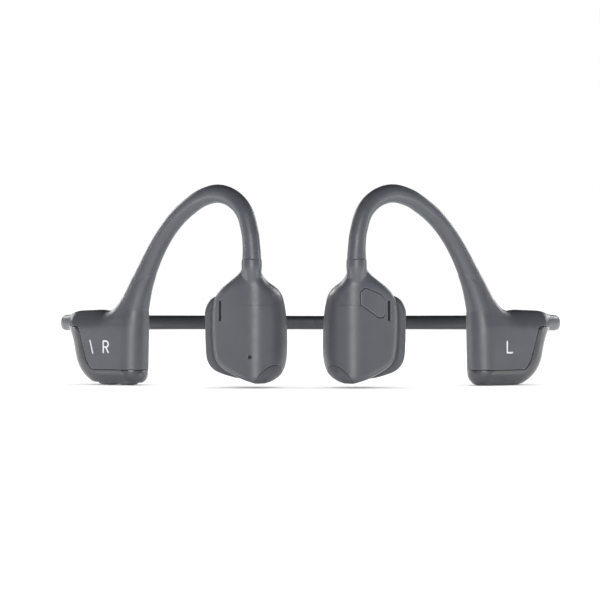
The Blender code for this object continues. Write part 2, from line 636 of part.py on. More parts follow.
def pad_outline():
    return [tuple(p) for p in smooth_line(PAD_OUTLINE, 2, True)]


def add_pad(prefix):
    """The moving half: voice coil, drive plate with its stem, and the pad on the cheek bone."""
    coil = ((3.8, -3.95), (3.8, -2.85), (3.3, -2.85), (3.3, -3.95))
    drive = ((4.4, -2.55), (4.4, -2.15), (STEM_R, -2.15), (STEM_R, PAD_FRONT_B - GAP))
    outline = pad_outline()
    rings = []
    for depth, b in ((0.5, PAD_FRONT_B), (0.0, PAD_FRONT_B + 0.5), (0.0, PAD_BACK_B - 1.0), (0.3, PAD_BACK_B - 0.3),
                     (1.1, PAD_BACK_B)):
        rings.append([pod_point(a, b, z) for a, z in inset(outline, depth)])
    return [pod_disc(prefix + "voice_coil", coil, TRANSDUCER_A, TRANSDUCER_Z, "copper", 20, True),
            pod_disc(prefix + "drive_plate", drive, TRANSDUCER_A, TRANSDUCER_Z, "frame_plastic"),
            loft(prefix + "bone_pad", rings, "pad_silicone")]


def add_battery(prefix):
    cell = rounded_polygon([(38.8, -2.4), (50.8, -2.4), (50.8, 1.5), (38.8, 1.5)], [1.2] * 4, 3)
    rings = prism_rings(lambda p, z: arm_point(p[0], p[1], z), cell, 3.0, 14.4)
    board = block(prefix + "battery_board", arm_point, (44.8, 2.3, 8.8), (10.5, 0.6, 8.0), "board")
    return [loft(prefix + "battery_cell", rings, "cell"), board]


def add_electronics(prefix):
    board = block(prefix + "main_board", arm_point, (45.2, 2.25, 9.4), (13.6, 0.6, 9.0), "board")
    socket = []
    for size, w in ((PORT_SHELL, 1.7), (PORT_SHELL, -4.1), (PORT_MOUTH, -4.1), (PORT_MOUTH, 0.9)):
        socket.append([arm_point(u, w, z) for u, z in port_outline(size, 0)])
    pieces = [board, loft(prefix + "usb_c_socket", socket, "steel"),
              led_slab(prefix + "led_light_guide", 0, (2.85, 4.35))]
    for label, u in (("volume_up", 40.6), ("volume_down", 45.8)):
        pieces.append(block(prefix + label + "_switch", arm_point, (u, 0, 3.45), (3.0, 2.6, 1.1), "steel"))
    return pieces


def add_key(name, front, rear, flat_front, flat_rear):
    """A volume key: half of the stadium slot's shape, with a crowned foot and a flange inside."""
    rings = []
    for z, shrink, half in ((0.0, 0.7, KEY_SLOT[2] - GAP - 0.7), (0.35, 0.12, KEY_SLOT[2] - GAP - 0.12),
                            (0.8, 0.0, KEY_SLOT[2] - GAP), (2.45, 0.0, KEY_SLOT[2] - GAP)):
        corners = [(rear - shrink, -half), (rear - shrink, half), (front + shrink, half), (front + shrink, -half)]
        radii = [0.3 if flat_rear else half * 0.97] * 2 + [0.3 if flat_front else half * 0.97] * 2
        rings.append([arm_point(u, w, z) for u, w in rounded_polygon(corners, radii, 4)])
    return loft(name, rings, "soft_touch_grey")


def add_neckband():
    """The middle of the band, hollowed at both ends for the knuckles, and its core wire."""
    stations = [FLEX_STATION, 1.56, 1.64, 1.73, 1.82, 1.91, 2.0]
    places = [(s, 1) for s in stations] + [(s, -1) for s in reversed(stations[:-1])]

    def round_ring(station, radius, sides):
        centre, normal = band_frame(station)[:2]
        return [centre + normal * x + Vector((0, 0, y)) for x, y in circle(radius, sides)]

    sleeve = loft("neckband_sleeve", [across_middle(band_ring(s), side) for s, side in places], "band_silicone")
    bore = [across_middle(round_ring(s, BAND_BORE_R, 8), side) for s, side in places]
    combine(sleeve, loft("bore_tool", bore, "frame_plastic"), "DIFFERENCE")
    for side in (1, -1):
        centre = band_frame(FLEX_STATION)[0]
        socket = [[Vector((side * (centre.x + x), centre.y + y, centre.z + z))
                   for x, y in circle(KNUCKLE_R + GAP, 16)] for z in (-5, 5)]
        combine(sleeve, loft("socket_tool", socket, "frame_plastic"), "DIFFERENCE")
    inner = [(s, side) for s, side in places if s > 1.5]
    wire = [across_middle(round_ring(s, CORE_WIRE_R, 8), side) for s, side in inner]
    return [sleeve, loft("neckband_core_wire", wire, "spring_wire")]


def across_middle(ring, side):
    """A ring of the band on the given side, with its points in the order of the left one."""
    if side > 0:
        return ring
    return [Vector((-p.x, p.y, p.z)) for p in ring]


# ---------------------------------------------------------------- finish

def finish(pieces, side, pivot):
    """Mirrors pieces for the right arm, puts their origins at the joint and smooths round faces."""
    for piece in pieces:
        mesh = piece.data
        if side < 0:
            mesh.transform(Matrix.Scale(-1, 4, (1, 0, 0)))
            mesh.flip_normals()
        place = Vector((pivot.x * side, pivot.y, pivot.z)) * MM
        mesh.transform(Matrix.Translation(-place))
        piece.location = place
        mesh.shade_smooth()
        mesh.set_sharp_from_angle(angle=math.radians(35))


def build():
    for old in list(bpy.data.objects):
        bpy.data.objects.remove(old)
    make_materials()
    flex = band_frame(FLEX_STATION)[0]
    pad_centre = pod_point(TRANSDUCER_A, 0, TRANSDUCER_Z)
    finish(add_neckband(), 1, Vector((0, 0, 0)))
    for label, side in (("left_", 1), ("right_", -1)):
        right = side < 0
        arm = add_band_end(label) + add_housing(label, right) + add_hook(label) + add_pod(label, right)
        arm += add_speaker(label) + add_transducer(label)
        arm += add_electronics(label) if right else add_battery(label)
        finish(arm, side, flex)
        finish(add_pad(label), side, pad_centre)
    finish([add_button("")], 1, face_point(BUTTON_T, 0, BUTTON_Z))
    front, rear, half = KEY_SLOT
    up = add_key("volume_up_button", front + GAP, KEY_SPLIT_U - 0.2, False, True)
    finish([up], -1, arm_point(40.6, 0, 1.2))
    down = add_key("volume_down_button", KEY_SPLIT_U + 0.2, rear - GAP, True, False)
    finish([down], -1, arm_point(45.8, 0, 1.2))


build()
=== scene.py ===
"""Looks of open-ear bone conduction headphones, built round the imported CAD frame.

The moulded skins are smooth forms: functions that give the distance to a surface. Each form is
turned into a mesh by surface_of, so fillets, seams and edges are real geometry. Lengths are
millimetres until a mesh is made. +X is the wearer's left, -Y the way the wearer faces, +Z up.
Every piece is shaped on the wearer's left, and mirrored for the right arm.
"""

import math

import bpy
import numpy as np
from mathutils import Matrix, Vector


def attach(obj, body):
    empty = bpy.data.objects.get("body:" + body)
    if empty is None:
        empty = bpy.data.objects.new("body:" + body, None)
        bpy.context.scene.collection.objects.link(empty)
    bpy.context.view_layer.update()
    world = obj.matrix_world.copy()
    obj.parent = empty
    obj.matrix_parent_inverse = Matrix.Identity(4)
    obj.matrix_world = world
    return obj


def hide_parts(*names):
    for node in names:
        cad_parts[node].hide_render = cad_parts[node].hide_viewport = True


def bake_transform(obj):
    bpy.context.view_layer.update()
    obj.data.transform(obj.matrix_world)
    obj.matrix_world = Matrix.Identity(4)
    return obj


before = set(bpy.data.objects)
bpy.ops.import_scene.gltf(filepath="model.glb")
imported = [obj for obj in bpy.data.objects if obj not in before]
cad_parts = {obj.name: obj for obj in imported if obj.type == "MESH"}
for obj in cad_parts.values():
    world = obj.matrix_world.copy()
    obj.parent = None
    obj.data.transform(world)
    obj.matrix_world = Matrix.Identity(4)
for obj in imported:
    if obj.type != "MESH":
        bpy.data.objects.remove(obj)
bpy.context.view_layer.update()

MM = 0.001
WALL = 1.1            # moulded wall thickness
SEAM = 0.012          # half the width of a parting line
SEAM_ROUND = 0.12     # softening of the edges along a parting line

# ---- arm plane: the vertical plane that holds an ear hook and its rear housing ----
ARM_ANGLE = math.radians(37.9)
ARM_ORIGIN = (12.5, -45.25)

# ear hook: centre line in the arm plane (u, z) and tube radius, front leg first
HOOK_PATH = (
    (0.0, 29.6, 2.33), (0.0, 31.6, 2.24), (0.1, 33.8, 2.12), (0.6, 37.4, 2.05), (2.35, 42.1, 2.1),
    (5.9, 45.3, 2.18), (10.7, 46.68, 2.22), (15.9, 45.75, 2.15), (20.4, 43.5, 2.1), (24.1, 40.95, 2.1),
    (27.2, 38.0, 2.1), (29.8, 34.9, 2.18), (32.0, 31.7, 2.3), (34.05, 28.3, 2.48), (36.1, 24.8, 2.62),
    (37.5, 22.2, 2.66),
)
HOOK_SEAM_Z = 30.78

# rear housing: its side outline (u, z) is straight stretches with rounded corners, and a flare
# that carries the hook: (z, front u, rear u)
HOUSING_CORNERS = ((35.3, -0.22, 3.3), (55.2, -0.22, 9.4), (58.5, 14.5, 1.0), (58.2, 17.5, 2.6))
FLARE = ((18.25, 34.75, 46.6), (18.75, 34.62, 45.0), (19.7, 34.4, 43.4), (22.2, 33.75, 41.0),
         (24.7, 32.98, 39.15), (27.0, 32.1, 37.6))
# half thickness against height along the housing and the hook's rear leg
THICKNESS = ((0, 4.3), (12.5, 4.3), (15.6, 4.05), (17.2, 3.8), (18.2, 3.62), (19.7, 3.4), (22.2, 3.05),
             (24.7, 2.72), (27.5, 2.42), (31.0, 2.16), (35.0, 2.06))
HOUSING_HALF_THICK = THICKNESS[0][1]
HOLLOW_TOP_Z = 16.4
# parting line between the soft skin and the trim, a closed shape: (u, z, corner radius)
TRIM_SEAM = ((20.0, 3.85, 0.1), (49.1, 3.85, 1.6), (50.8, 5.9, 1.2), (53.6, 14.5, 0.9), (70.0, 14.5, 0.1),
             (70.0, -9.0, 0.1), (20.0, -9.0, 0.1))

# ---- neckband: straight out of the housing, an arc, then half an ellipse behind the neck ----
BAND_START_U = 55.5
BAND_STUB_LENGTH = 5.5
BAND_ARC_R = 14.0
BAND_REACH = 48.63
# each pair: at the housing, and in the middle of the back
BAND_Z = (15.55, 14.9)
BAND_HALF_HEIGHT = (2.03, 1.85)
BAND_HALF_THICK = (1.9, 1.5)
BAND_SQUARENESS = 0.75
BAND_SEAM_STATION = 1.12
# the sleeve starts a little inside the arm's skin, as a plug, so that the seam shows no gap
PLUG_STATIONS, PLUG_SHRINK = 0.006, 0.08
WING_FILLET = 3.2
CORE_WIRE_R = 0.42

# ---- pod frame: a outwards along the back plane, b towards the head ----
POD_TURN = math.radians(8.0)
POD_ORIGIN = (4.97, -37.05)
POD_BACK_B = -0.6
SIDE_FACE = ((-2.0, -2.4), (1.2, -8.0))      # (a, b) of two points on the pod's inner side
INNER_EDGE = (0.6, -7.0)                     # where the inner front face starts
OUTER_EDGE = (17.4, -2.3)                    # where the outer front face ends
# the ridge between the front faces leads into the neck: (z, ridge a, ridge b, back b, half the neck's width)
RIDGE_LINE = ((-5, 7.8, -11.2, -0.6, 2.9), (17, 7.8, -11.2, -0.6, 3.6), (20, 7.9, -11.1, -0.6, 3.6),
              (22.5, 8.05, -10.9, -1.3, 4.3), (25, 8.25, -10.6, -2.7, 3.95), (28, 8.5, -10.35, -4.2, 2.95),
              (31, 8.58, -10.35, -4.75, 2.36), (35, 8.58, -10.35, -4.75, 2.2))
RIDGE_ROUND = 6.0
SIDE_ROUND = 5.0
FLARE_START_Z = 18    # where the neck starts to widen into the pod
POD_HOLLOW_TOP_Z = 21.6
# the pod's outline seen from the front (x, z): up the inner side, and down the outer side
POD_INNER_EDGE = ((9.9, 0.95), (7.8, 1.45), (5.6, 2.9), (4.2, 5.2), (3.6, 8.2), (3.53, 12.0), (3.85, 16.5),
                  (4.45, 20.0), (5.55, 22.9), (7.4, 24.8), (9.8, 25.8))
POD_OUTER_EDGE = ((13.6, 26.6), (16.0, 26.3), (18.3, 24.9), (20.1, 23.3), (21.6, 21.4), (22.2, 18.8),
                  (22.2, 14.0), (21.95, 9.5), (21.4, 6.7), (20.0, 4.8), (17.4, 3.1), (14.8, 1.85),
                  (12.2, 1.0))
# neck that carries the hook, in the arm frame (u, w, z) with its radius
NECK_PATH = ((0.0, 0.0, 32.4, 2.22), (0.0, 0.0, 30.7, 2.36), (0.0, 0.0, 28.8, 2.42), (0.1, -0.1, 27.0, 2.2),
             (0.2, -0.3, 25.0, 1.8), (0.3, -0.5, 22.0, 1.2))
CAP_CENTRE, CAP_R = (6.7, -44.6, 0.0), 5.5
# the pad on the cheekbone: its outline (a, z), and where it starts and ends in b
PAD_OUTLINE = (
    (5.2, 2.3), (10.0, 2.0), (14.3, 3.0), (17.0, 4.3), (18.5, 6.6), (18.9, 10.5), (18.95, 15.5),
    (18.9, 18.8), (16.9, 21.7), (11.5, 22.9), (6.7, 22.6), (3.8, 20.8), (2.7, 17.0), (2.5, 9.0), (3.2, 4.6),
)
PAD_B = (1.8, 4.6)
# the frame of the slot, button and microphone: its face runs along FACE_SLOPE (a, b) in plan,
# and t goes inwards from OUTER_EDGE
FACE_SLOPE = (11.1, 9.2)
SLOT_T, SLOT_Z, SLOT_SIZE, SLOT_DEPTH = 1.9, 18.5, (0.7, 4.8), 3
BUTTON_T, BUTTON_Z = 6.3, 20.3
BUTTON_PROUD, BUTTON_DEPTH = 0.06, 1.9
BUTTON_GAP = 0.09
POCKET_DEPTH = 2.35   # leaves room under the button for its full press
BUTTON_OUTLINE = ((-3.27, 0.6), (-3.27, -2.5), (-2.6, -3.4), (-1.27, -3.4), (3.44, -0.4), (3.44, 2.6),
                  (2.26, 3.6), (-1.97, 2.1))
MIC_T, MIC_Z, MIC_HOLE_R, MIC_DEPTH = 10.4, 7.5, 0.42, 2.5
KEY_PROUD = 0.6
KEY_SLOT = (37.4, 50.2, 2.2)   # front u, rear u, half width
KEY_SPLIT_U, KEY_GAP = 43.2, 0.12
LED_U, LED_Z, LED_SIZE, LED_TILT = 49.1, 9.4, (0.42, 3.8), math.radians(17)
PORT_U, PORT_Z, PORT_SIZE = 44.5, 9.8, (8.94, 3.26)

# ---- side letters: strokes about their middle ----
LETTER_U, LETTER_Z, LETTER_STROKE = 44.0, 9.5, 0.42
LETTER_BOWL = [(0.1 + 0.74 * math.sin(t), 0.66 + 0.74 * math.cos(t)) for t in np.linspace(0, math.pi, 9)]
LETTER_L = (((-0.8, 1.4), (-0.8, -1.4)), ((-0.8, -1.4), (0.85, -1.4)))
LETTER_R = (((-0.85, -1.4), (-0.85, 1.4)), ((-0.85, 1.4), *LETTER_BOWL, (-0.85, -0.08)),
            ((0.0, -0.08), (0.85, -1.4)))

# ---- studio: the camera stands level, and looks at the plane through the middle of the ear hooks ----
CAMERA_DISTANCE = 700.0
CAMERA_PLANE_Y = -18.75
CAMERA_WIDTH = 148.662     # how much of that plane the view takes in, across
CAMERA_AZIMUTH = 2.0
CAMERA_Z = 21.05
CAMERA_SHIFT = -1.9
SENSOR_WIDTH = 36
# (name, place, target, size, power in watts), in metres
MIDDLE_LIGHTS = (("key", (0, -0.95, 0.1), (0, -0.02, 0.02), (0.5, 0.4), 4.7),
                 ("low", (0, -0.62, -0.3), (0, -0.02, 0.02), (0.5, 0.07), 0.6))
# and these stand on both sides
SIDE_LIGHTS = (("low_side", (0.7, -0.2, -0.27), (0, -0.02, 0.02), (0.25, 0.07), 0.7),
               ("side", (0.7, 0.15, 0.04), (0, -0.02, 0.02), (0.07, 0.3), 0.8),
               ("back", (0.7, 0.9, 0.4), (0, 0, 0.02), (0.5, 0.3), 2.4))
OVERHEAD_POWER = 3.6
# grey of the surround against height, straight down to straight up
SURROUND = ((0.0, 0.3), (0.5, 0.2), (0.75, 0.08), (1.0, 0.05))
FLOOR_HALF = 90


# ---------------------------------------------------------------- frames

def turned(points, origin, angle):
    """Points seen in a frame turned about Z at origin: along the angle, left of it, up."""
    dx, dy = points[:, 0] - origin[0], points[:, 1] - origin[1]
    c, s = math.cos(angle), math.sin(angle)
    return np.stack([dx * c + dy * s, dy * c - dx * s, points[:, 2]], 1)


def unturned(points, origin, angle):
    c, s = math.cos(angle), math.sin(angle)
    x = origin[0] + points[:, 0] * c - points[:, 1] * s
    y = origin[1] + points[:, 0] * s + points[:, 1] * c
    return np.stack([x, y, points[:, 2]], 1)


def to_arm(points):
    """World to the arm frame: u rearwards in the arm plane, w outwards from the head, z up."""
    local = turned(points, ARM_ORIGIN, ARM_ANGLE)
    return local * (1, -1, 1)


def from_arm(points):
    return unturned(np.asarray(points, float) * (1, -1, 1), ARM_ORIGIN, ARM_ANGLE)


def to_pod(points):
    return turned(points, POD_ORIGIN, -POD_TURN)


def from_pod(points):
    return unturned(np.asarray(points, float), POD_ORIGIN, -POD_TURN)


FACE_ANGLE = math.atan2(FACE_SLOPE[1], FACE_SLOPE[0])


def to_face(points):
    """World to the outer face's frame: t inwards from the rim along the face, n out of it, z up."""
    local = to_pod(points)
    a, b = local[:, 0] - OUTER_EDGE[0], local[:, 1] - OUTER_EDGE[1]
    c, s = math.cos(FACE_ANGLE), math.sin(FACE_ANGLE)
    return np.stack([-a * c - b * s, a * s - b * c, local[:, 2]], 1)


def from_face(points):
    t, n, z = np.asarray(points, float).T
    c, s = math.cos(FACE_ANGLE), math.sin(FACE_ANGLE)
    a = OUTER_EDGE[0] - t * c + n * s
    b = OUTER_EDGE[1] - t * s - n * c
    return from_pod(np.stack([a, b, z], 1))


def pod_a(x):
    """The pod frame's a for a place x in front view, near the back plane."""
    return (x - POD_ORIGIN[0] + 1.5 * math.sin(POD_TURN)) / math.cos(POD_TURN)


# ---------------------------------------------------------------- lines and outlines

def smooth_line(points, parts, closed=False):
    """Points with parts - 1 more between each pair, on a Catmull-Rom curve."""
    p = np.asarray(points, float)
    n = len(p)
    rows = []
    for i in range(n if closed else n - 1):
        index = [(i + k) % n if closed else min(max(i + k, 0), n - 1) for k in (-1, 0, 1, 2)]
        a, b, c, d = p[index]
        for f in np.arange(parts) / parts:
            rows.append(0.5 * (2 * b + (c - a) * f + (2 * a - 5 * b + 4 * c - d) * f * f
                               + (3 * b - a - 3 * c + d) * f ** 3))
    if not closed:
        rows.append(p[-1])
    return np.array(rows)


def rounded_polygon(corners, steps=8):
    """Points of a polygon; each corner is (x, y, radius), rounded by an arc."""
    points = []
    xy = [Vector(c[:2]) for c in corners]
    for i, corner in enumerate(xy):
        before = xy[i - 1] - corner
        after = xy[(i + 1) % len(xy)] - corner
        half = before.angle(after) / 2
        tangent = corners[i][2] / math.tan(half)
        middle = (before.normalized() + after.normalized()).normalized()
        centre = corner + middle * corners[i][2] / math.sin(half)
        start = corner + before.normalized() * tangent - centre
        sweep = math.copysign(math.pi - 2 * half, before.x * start.y - before.y * start.x)
        for k in range(steps + 1):
            turn = sweep * k / steps
            points.append((centre.x + start.x * math.cos(turn) - start.y * math.sin(turn),
                           centre.y + start.x * math.sin(turn) + start.y * math.cos(turn)))
    return np.array(points)


def inside_distance(x, y, outline):
    """Signed distance to a closed outline in the plane, negative inside."""
    inside = np.zeros(len(x), bool)
    nearest = np.full(len(x), 1e9)
    for (x0, y0), (x1, y1) in zip(outline, np.roll(outline, -1, 0)):
        ex, ey = x1 - x0, y1 - y0
        t = np.clip(((x - x0) * ex + (y - y0) * ey) / (ex * ex + ey * ey + 1e-12), 0, 1)
        nearest = np.minimum(nearest, (x - x0 - t * ex) ** 2 + (y - y0 - t * ey) ** 2)
        if ey:
            inside ^= ((y0 <= y) != (y1 <= y)) & (x < x0 + (y - y0) / ey * ex)
    return np.where(inside, -1, 1) * np.sqrt(nearest)


def looked_up(form, low, high, step=0.2):
    """A form in the plane, worked out once on a grid, and read between its points by a smooth curve."""
    counts = [int((high[i] - low[i]) / step) + 4 for i in (0, 1)]
    grid = np.meshgrid(*[low[i] + step * (np.arange(counts[i]) - 1) for i in (0, 1)], indexing="ij")
    table = form(grid[0].ravel(), grid[1].ravel())

    def read(x, y):
        weights, first = [], []
        for i, value in enumerate((x, y)):
            place = np.clip((value - low[i]) / step + 1, 1, counts[i] - 2.001)
            whole = place.astype(int)
            f = place - whole
            first.append(whole - 1)
            weights.append((-0.5 * f + f ** 2 - 0.5 * f ** 3, 1 - 2.5 * f ** 2 + 1.5 * f ** 3,
                            0.5 * f + 2 * f ** 2 - 1.5 * f ** 3, -0.5 * f ** 2 + 0.5 * f ** 3))
        start = first[0] * counts[1] + first[1]
        total = 0
        for m in range(4):
            row = sum(table[start + m * counts[1] + n] * weights[1][n] for n in range(4))
            total = total + row * weights[0][m]
        return total

    return read


def line_distance(points, line, radii):
    """Distance to a tube along a line, and the place on the line as a running index."""
    best = np.full(len(points), 1e9)
    place = np.zeros(len(points))
    for i in range(len(line) - 1):
        along = line[i + 1] - line[i]
        t = np.clip((points - line[i]) @ along / (along @ along), 0, 1)
        radius = radii[i] + (radii[i + 1] - radii[i]) * t
        gap = np.linalg.norm(points - line[i] - t[:, None] * along, axis=1) - radius
        closer = gap < best
        best = np.where(closer, gap, best)
        place = np.where(closer, i + t, place)
    return best, place


def smooth_min(a, b, k):
    """The nearer of two forms, with a fillet of about k where they meet and no crease at its ends."""
    h = np.maximum(1.5 * k - np.abs(a - b), 0) / (1.5 * k)
    return np.minimum(a, b) - h ** 3 * k / 4


def smooth_max(a, b, k):
    return -smooth_min(-a, -b, k)


def ease(x, low, high):
    """0 below low, 1 above high, and smooth between."""
    t = np.clip((x - low) / (high - low), 0, 1)
    return t * t * (3 - 2 * t)


def slab(flat, height, half_height, edge):
    """A plate: flat is the distance to its outline, height the distance from its middle plane."""
    across, up = flat + edge, np.abs(height) - half_height + edge
    return np.hypot(np.maximum(across, 0), np.maximum(up, 0)) + np.minimum(np.maximum(across, up), 0) - edge


# ---------------------------------------------------------------- meshes from forms

BLOCK = 4


def sampled(form, place, low, cell, counts):
    """The form on a grid: finely near its surface, and once for each block elsewhere."""
    blocks = [(n - 1) // BLOCK for n in counts]
    values = np.empty(counts)
    middle = [low[i] + cell * (BLOCK * np.arange(blocks[i]) + BLOCK / 2) for i in range(3)]
    grid = np.stack(np.meshgrid(*middle, indexing="ij"), -1).reshape(-1, 3)
    coarse = form(place(grid)).reshape(blocks)
    for axis in range(3):
        coarse = np.repeat(coarse, BLOCK, axis)
    values[:-1, :-1, :-1] = coarse
    near = np.abs(coarse) < cell * BLOCK * 1.1
    wanted = np.zeros(counts, bool)
    for i in (0, 1):
        for j in (0, 1):
            for k in (0, 1):
                wanted[i:near.shape[0] + i, j:near.shape[1] + j, k:near.shape[2] + k] |= near
    index = np.argwhere(wanted)
    values[wanted] = form(place(np.array(low) + cell * index))
    for axis in range(3):
        edge = np.moveaxis(values, axis, 0)
        edge[0], edge[-1] = 1, 1
    return values


def surface_of(form, place, low, high, cell):
    """Vertices, quads and normals of the form's surface inside a box, in world millimetres.

    One vertex for each grid cell that the surface crosses, then moved onto the surface.
    """
    counts = [math.ceil((high[i] - low[i]) / cell / BLOCK) * BLOCK + 1 for i in range(3)]
    values = sampled(form, place, low, cell, counts)
    inside = values < 0
    offsets = [(i, j, k) for i in (0, 1) for j in (0, 1) for k in (0, 1)]
    size = [n - 1 for n in counts]
    total = sum(inside[i:size[0] + i, j:size[1] + j, k:size[2] + k].astype(np.int8) for i, j, k in offsets)
    mixed = (total > 0) & (total < 8)
    cells = np.argwhere(mixed)
    number = np.full(size, -1)
    number[mixed] = np.arange(len(cells))
    corner = np.stack([values[tuple((cells + o).T)] for o in offsets], 1)
    crossing = np.zeros((len(cells), 3))
    count = np.zeros(len(cells))
    for m, a in enumerate(offsets):
        for n, b in enumerate(offsets):
            if m < n and sum(abs(a[i] - b[i]) for i in range(3)) == 1:
                cut = (corner[:, m] < 0) != (corner[:, n] < 0)
                t = corner[cut, m] / (corner[cut, m] - corner[cut, n])
                crossing[cut] += np.array(a) + t[:, None] * (np.array(b) - np.array(a))
                count[cut] += 1
    vertices = place(np.array(low) + cell * (cells + crossing / count[:, None]))
    quads = []
    for axis in range(3):
        one, two = (axis + 1) % 3, (axis + 2) % 3
        first = np.moveaxis(inside, axis, 0)
        edges = np.argwhere(first[:-1] != first[1:])
        starts_inside = first[:-1][tuple(edges.T)]
        order = [axis] + [i for i in range(3) if i != axis]
        full = np.empty_like(edges)
        full[:, order] = edges
        keep = np.all((full[:, [one, two]] > 0) & (full[:, [one, two]] < np.array(size)[[one, two]]), axis=1)
        full, starts_inside = full[keep], starts_inside[keep]
        ring = []
        for i, j in ((-1, -1), (0, -1), (0, 0), (-1, 0)):
            step = np.zeros(3, int)
            step[one], step[two] = i, j
            ring.append(number[tuple((full + step).T)])
        ring = np.stack(ring, 1)
        quads.append(np.where(starts_inside[:, None], ring, ring[:, ::-1]))
    quads = np.concatenate(quads)
    if np.linalg.det(place(np.eye(3)) - place(np.zeros((1, 3)))) < 0:
        quads = quads[:, ::-1]
    slope = slope_of(form, vertices)
    steepness = np.maximum(np.sum(slope * slope, 1), 0.05)
    for _ in range(2):
        move = -(form(vertices) / steepness)[:, None] * slope
        length = np.linalg.norm(move, axis=1)[:, None]
        vertices = vertices + move * np.minimum(1, 0.5 * cell / np.maximum(length, 1e-9))
    normals = slope_of(form, vertices)
    normals /= np.maximum(np.linalg.norm(normals, axis=1)[:, None], 1e-9)
    # the last value, from bend_of, drives a painted edge highlight: 1 where the surface bends sharply
    # outwards
    return vertices, quads, normals, ease(bend_of(form, vertices), 0.9, 2.6)


def bend_of(form, points, step=0.3):
    """How sharply the surface bends outwards at each point, per millimetre."""
    total = 0
    for move in np.concatenate([np.eye(3), -np.eye(3)]) * step:
        total = total + form(points + move)
    return total / step ** 2


def slope_of(form, points, step=0.02):
    slope = np.empty_like(points)
    for i in range(3):
        move = np.zeros(3)
        move[i] = step
        slope[:, i] = (form(points + move) - form(points - move)) / (2 * step)
    return slope


def add_mesh(name, vertices, faces, material, mirror, normals=None):
    """A mesh object in metres; mirror puts it on the wearer's right."""
    vertices = np.array(vertices, float) * MM
    faces = [list(f) for f in faces]
    if mirror:
        vertices[:, 0] *= -1
        faces = [f[::-1] for f in faces]
    mesh = bpy.data.meshes.new(name)
    mesh.from_pydata(vertices.tolist(), [], faces)
    mesh.shade_smooth()
    if normals is not None:
        normals = normals * ((-1, 1, 1) if mirror else (1, 1, 1))
        mesh.normals_split_custom_set_from_vertices(normals.tolist())
    mesh.materials.append(material)
    piece = bpy.data.objects.new(name, mesh)
    bpy.context.scene.collection.objects.link(piece)
    return piece


def add_form(name, form, place, box, cell, material, mirror, body):
    """A piece in the shape of a form. It carries a painted edge highlight share, 1 where the surface bends
    sharply outwards.
    """
    # painted highlight: the share that lightens the colour on sharp outward edges
    vertices, quads, normals, edge_highlight_share = surface_of(form, place, box[0], box[1], cell)
    piece = add_mesh(name, vertices, quads, material, mirror, normals)
    piece.data.attributes.new("painted_edge_highlight", "FLOAT", "POINT").data.foreach_set("value", edge_highlight_share.astype(np.float32))
    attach(piece, body)
    return piece


def swept(rings):
    """Vertices and faces of a tube through rings of equal count, with end caps."""
    count = len(rings[0])
    faces = []
    for i in range(len(rings) - 1):
        for k in range(count):
            m = (k + 1) % count
            faces.append((i * count + k, (i + 1) * count + k, (i + 1) * count + m, i * count + m))
    faces.append(tuple(range(count)))
    faces.append(tuple((len(rings) - 1) * count + k for k in reversed(range(count))))
    return np.concatenate(rings), faces


# ---------------------------------------------------------------- the neckband

def mix(pair, share):
    return pair[0] + (pair[1] - pair[0]) * share


def band_centre(station):
    """Centre and heading of the band: -1 is buried in the housing, 1 ends the arc, 2 is the middle."""
    z = mix(BAND_Z, max(station, 0) / 2)
    start = from_arm([(BAND_START_U, 0, z)])[0]
    if station <= 0:
        return from_arm([(BAND_START_U + station * BAND_STUB_LENGTH, 0, z)])[0], ARM_ANGLE
    if station <= 1:
        heading = mix((ARM_ANGLE, math.pi / 2), station)
        turn = (math.sin(heading) - math.sin(ARM_ANGLE), math.cos(ARM_ANGLE) - math.cos(heading), 0)
        return start + BAND_ARC_R * np.array(turn), heading
    half_width = start[0] + BAND_ARC_R * (1 - math.sin(ARM_ANGLE))
    centre_y = start[1] + BAND_ARC_R * math.cos(ARM_ANGLE)
    depth = BAND_REACH - BAND_HALF_THICK[1] - centre_y
    angle = (station - 1) * math.pi / 2
    heading = math.atan2(depth * math.cos(angle), -half_width * math.sin(angle))
    return np.array((half_width * math.cos(angle), centre_y + depth * math.sin(angle), z)), heading


def band_rings(stations, count, size=None):
    """Rings of the band sleeve, or of a round wire where size is a radius."""
    rings = []
    for station in stations:
        centre, heading = band_centre(station)
        outwards = np.array((math.sin(heading), -math.cos(heading), 0))
        share = max(station, 0) / 2
        ring = []
        for k in range(count):
            x, y = math.cos(2 * math.pi * k / count), math.sin(2 * math.pi * k / count)
            if size is None:
                x = math.copysign(abs(x) ** BAND_SQUARENESS, x) * mix(BAND_HALF_THICK, share)
                y = math.copysign(abs(y) ** BAND_SQUARENESS, y) * mix(BAND_HALF_HEIGHT, share)
            else:
                x, y = x * size, y * size
            ring.append(centre + outwards * x + np.array((0, 0, y)))
        rings.append(np.array(ring))
    return rings


def add_band_half(side, mirror, materials):
    """Half of the neckband: the sleeve and its core wire, in one fixed shape, though the real band springs
    open.
    """
    first = BAND_SEAM_STATION
    stations = np.concatenate([[first - PLUG_STATIONS, first + 0.002, first + 0.006],
                               np.linspace(first + 0.02, 1.98, 46), [1.9985, 2]])
    rings = band_rings(stations, 36)
    rings[:2] = [ring + (ring.mean(0) - ring) * PLUG_SHRINK for ring in rings[:2]]
    sleeve = add_mesh(side + "_band_sleeve", *swept(rings), materials["band"], mirror)
    wire_stations = np.concatenate([np.linspace(-0.75, 1, 8), np.linspace(1.05, 2, 30)])
    wire_rings = band_rings(wire_stations, 10, CORE_WIRE_R)
    wire = add_mesh(side + "_band_core_wire", *swept(wire_rings), materials["wire"], mirror)
    for piece, slot, nodes in ((sleeve, "band_silicone", ("neckband_sleeve", side + "_band_end_sleeve")),
                               (wire, "spring_wire", ("neckband_core_wire", side + "_band_end_wire"))):
        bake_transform(piece)
        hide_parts(*nodes)


# ---------------------------------------------------------------- the arm: hook and rear housing

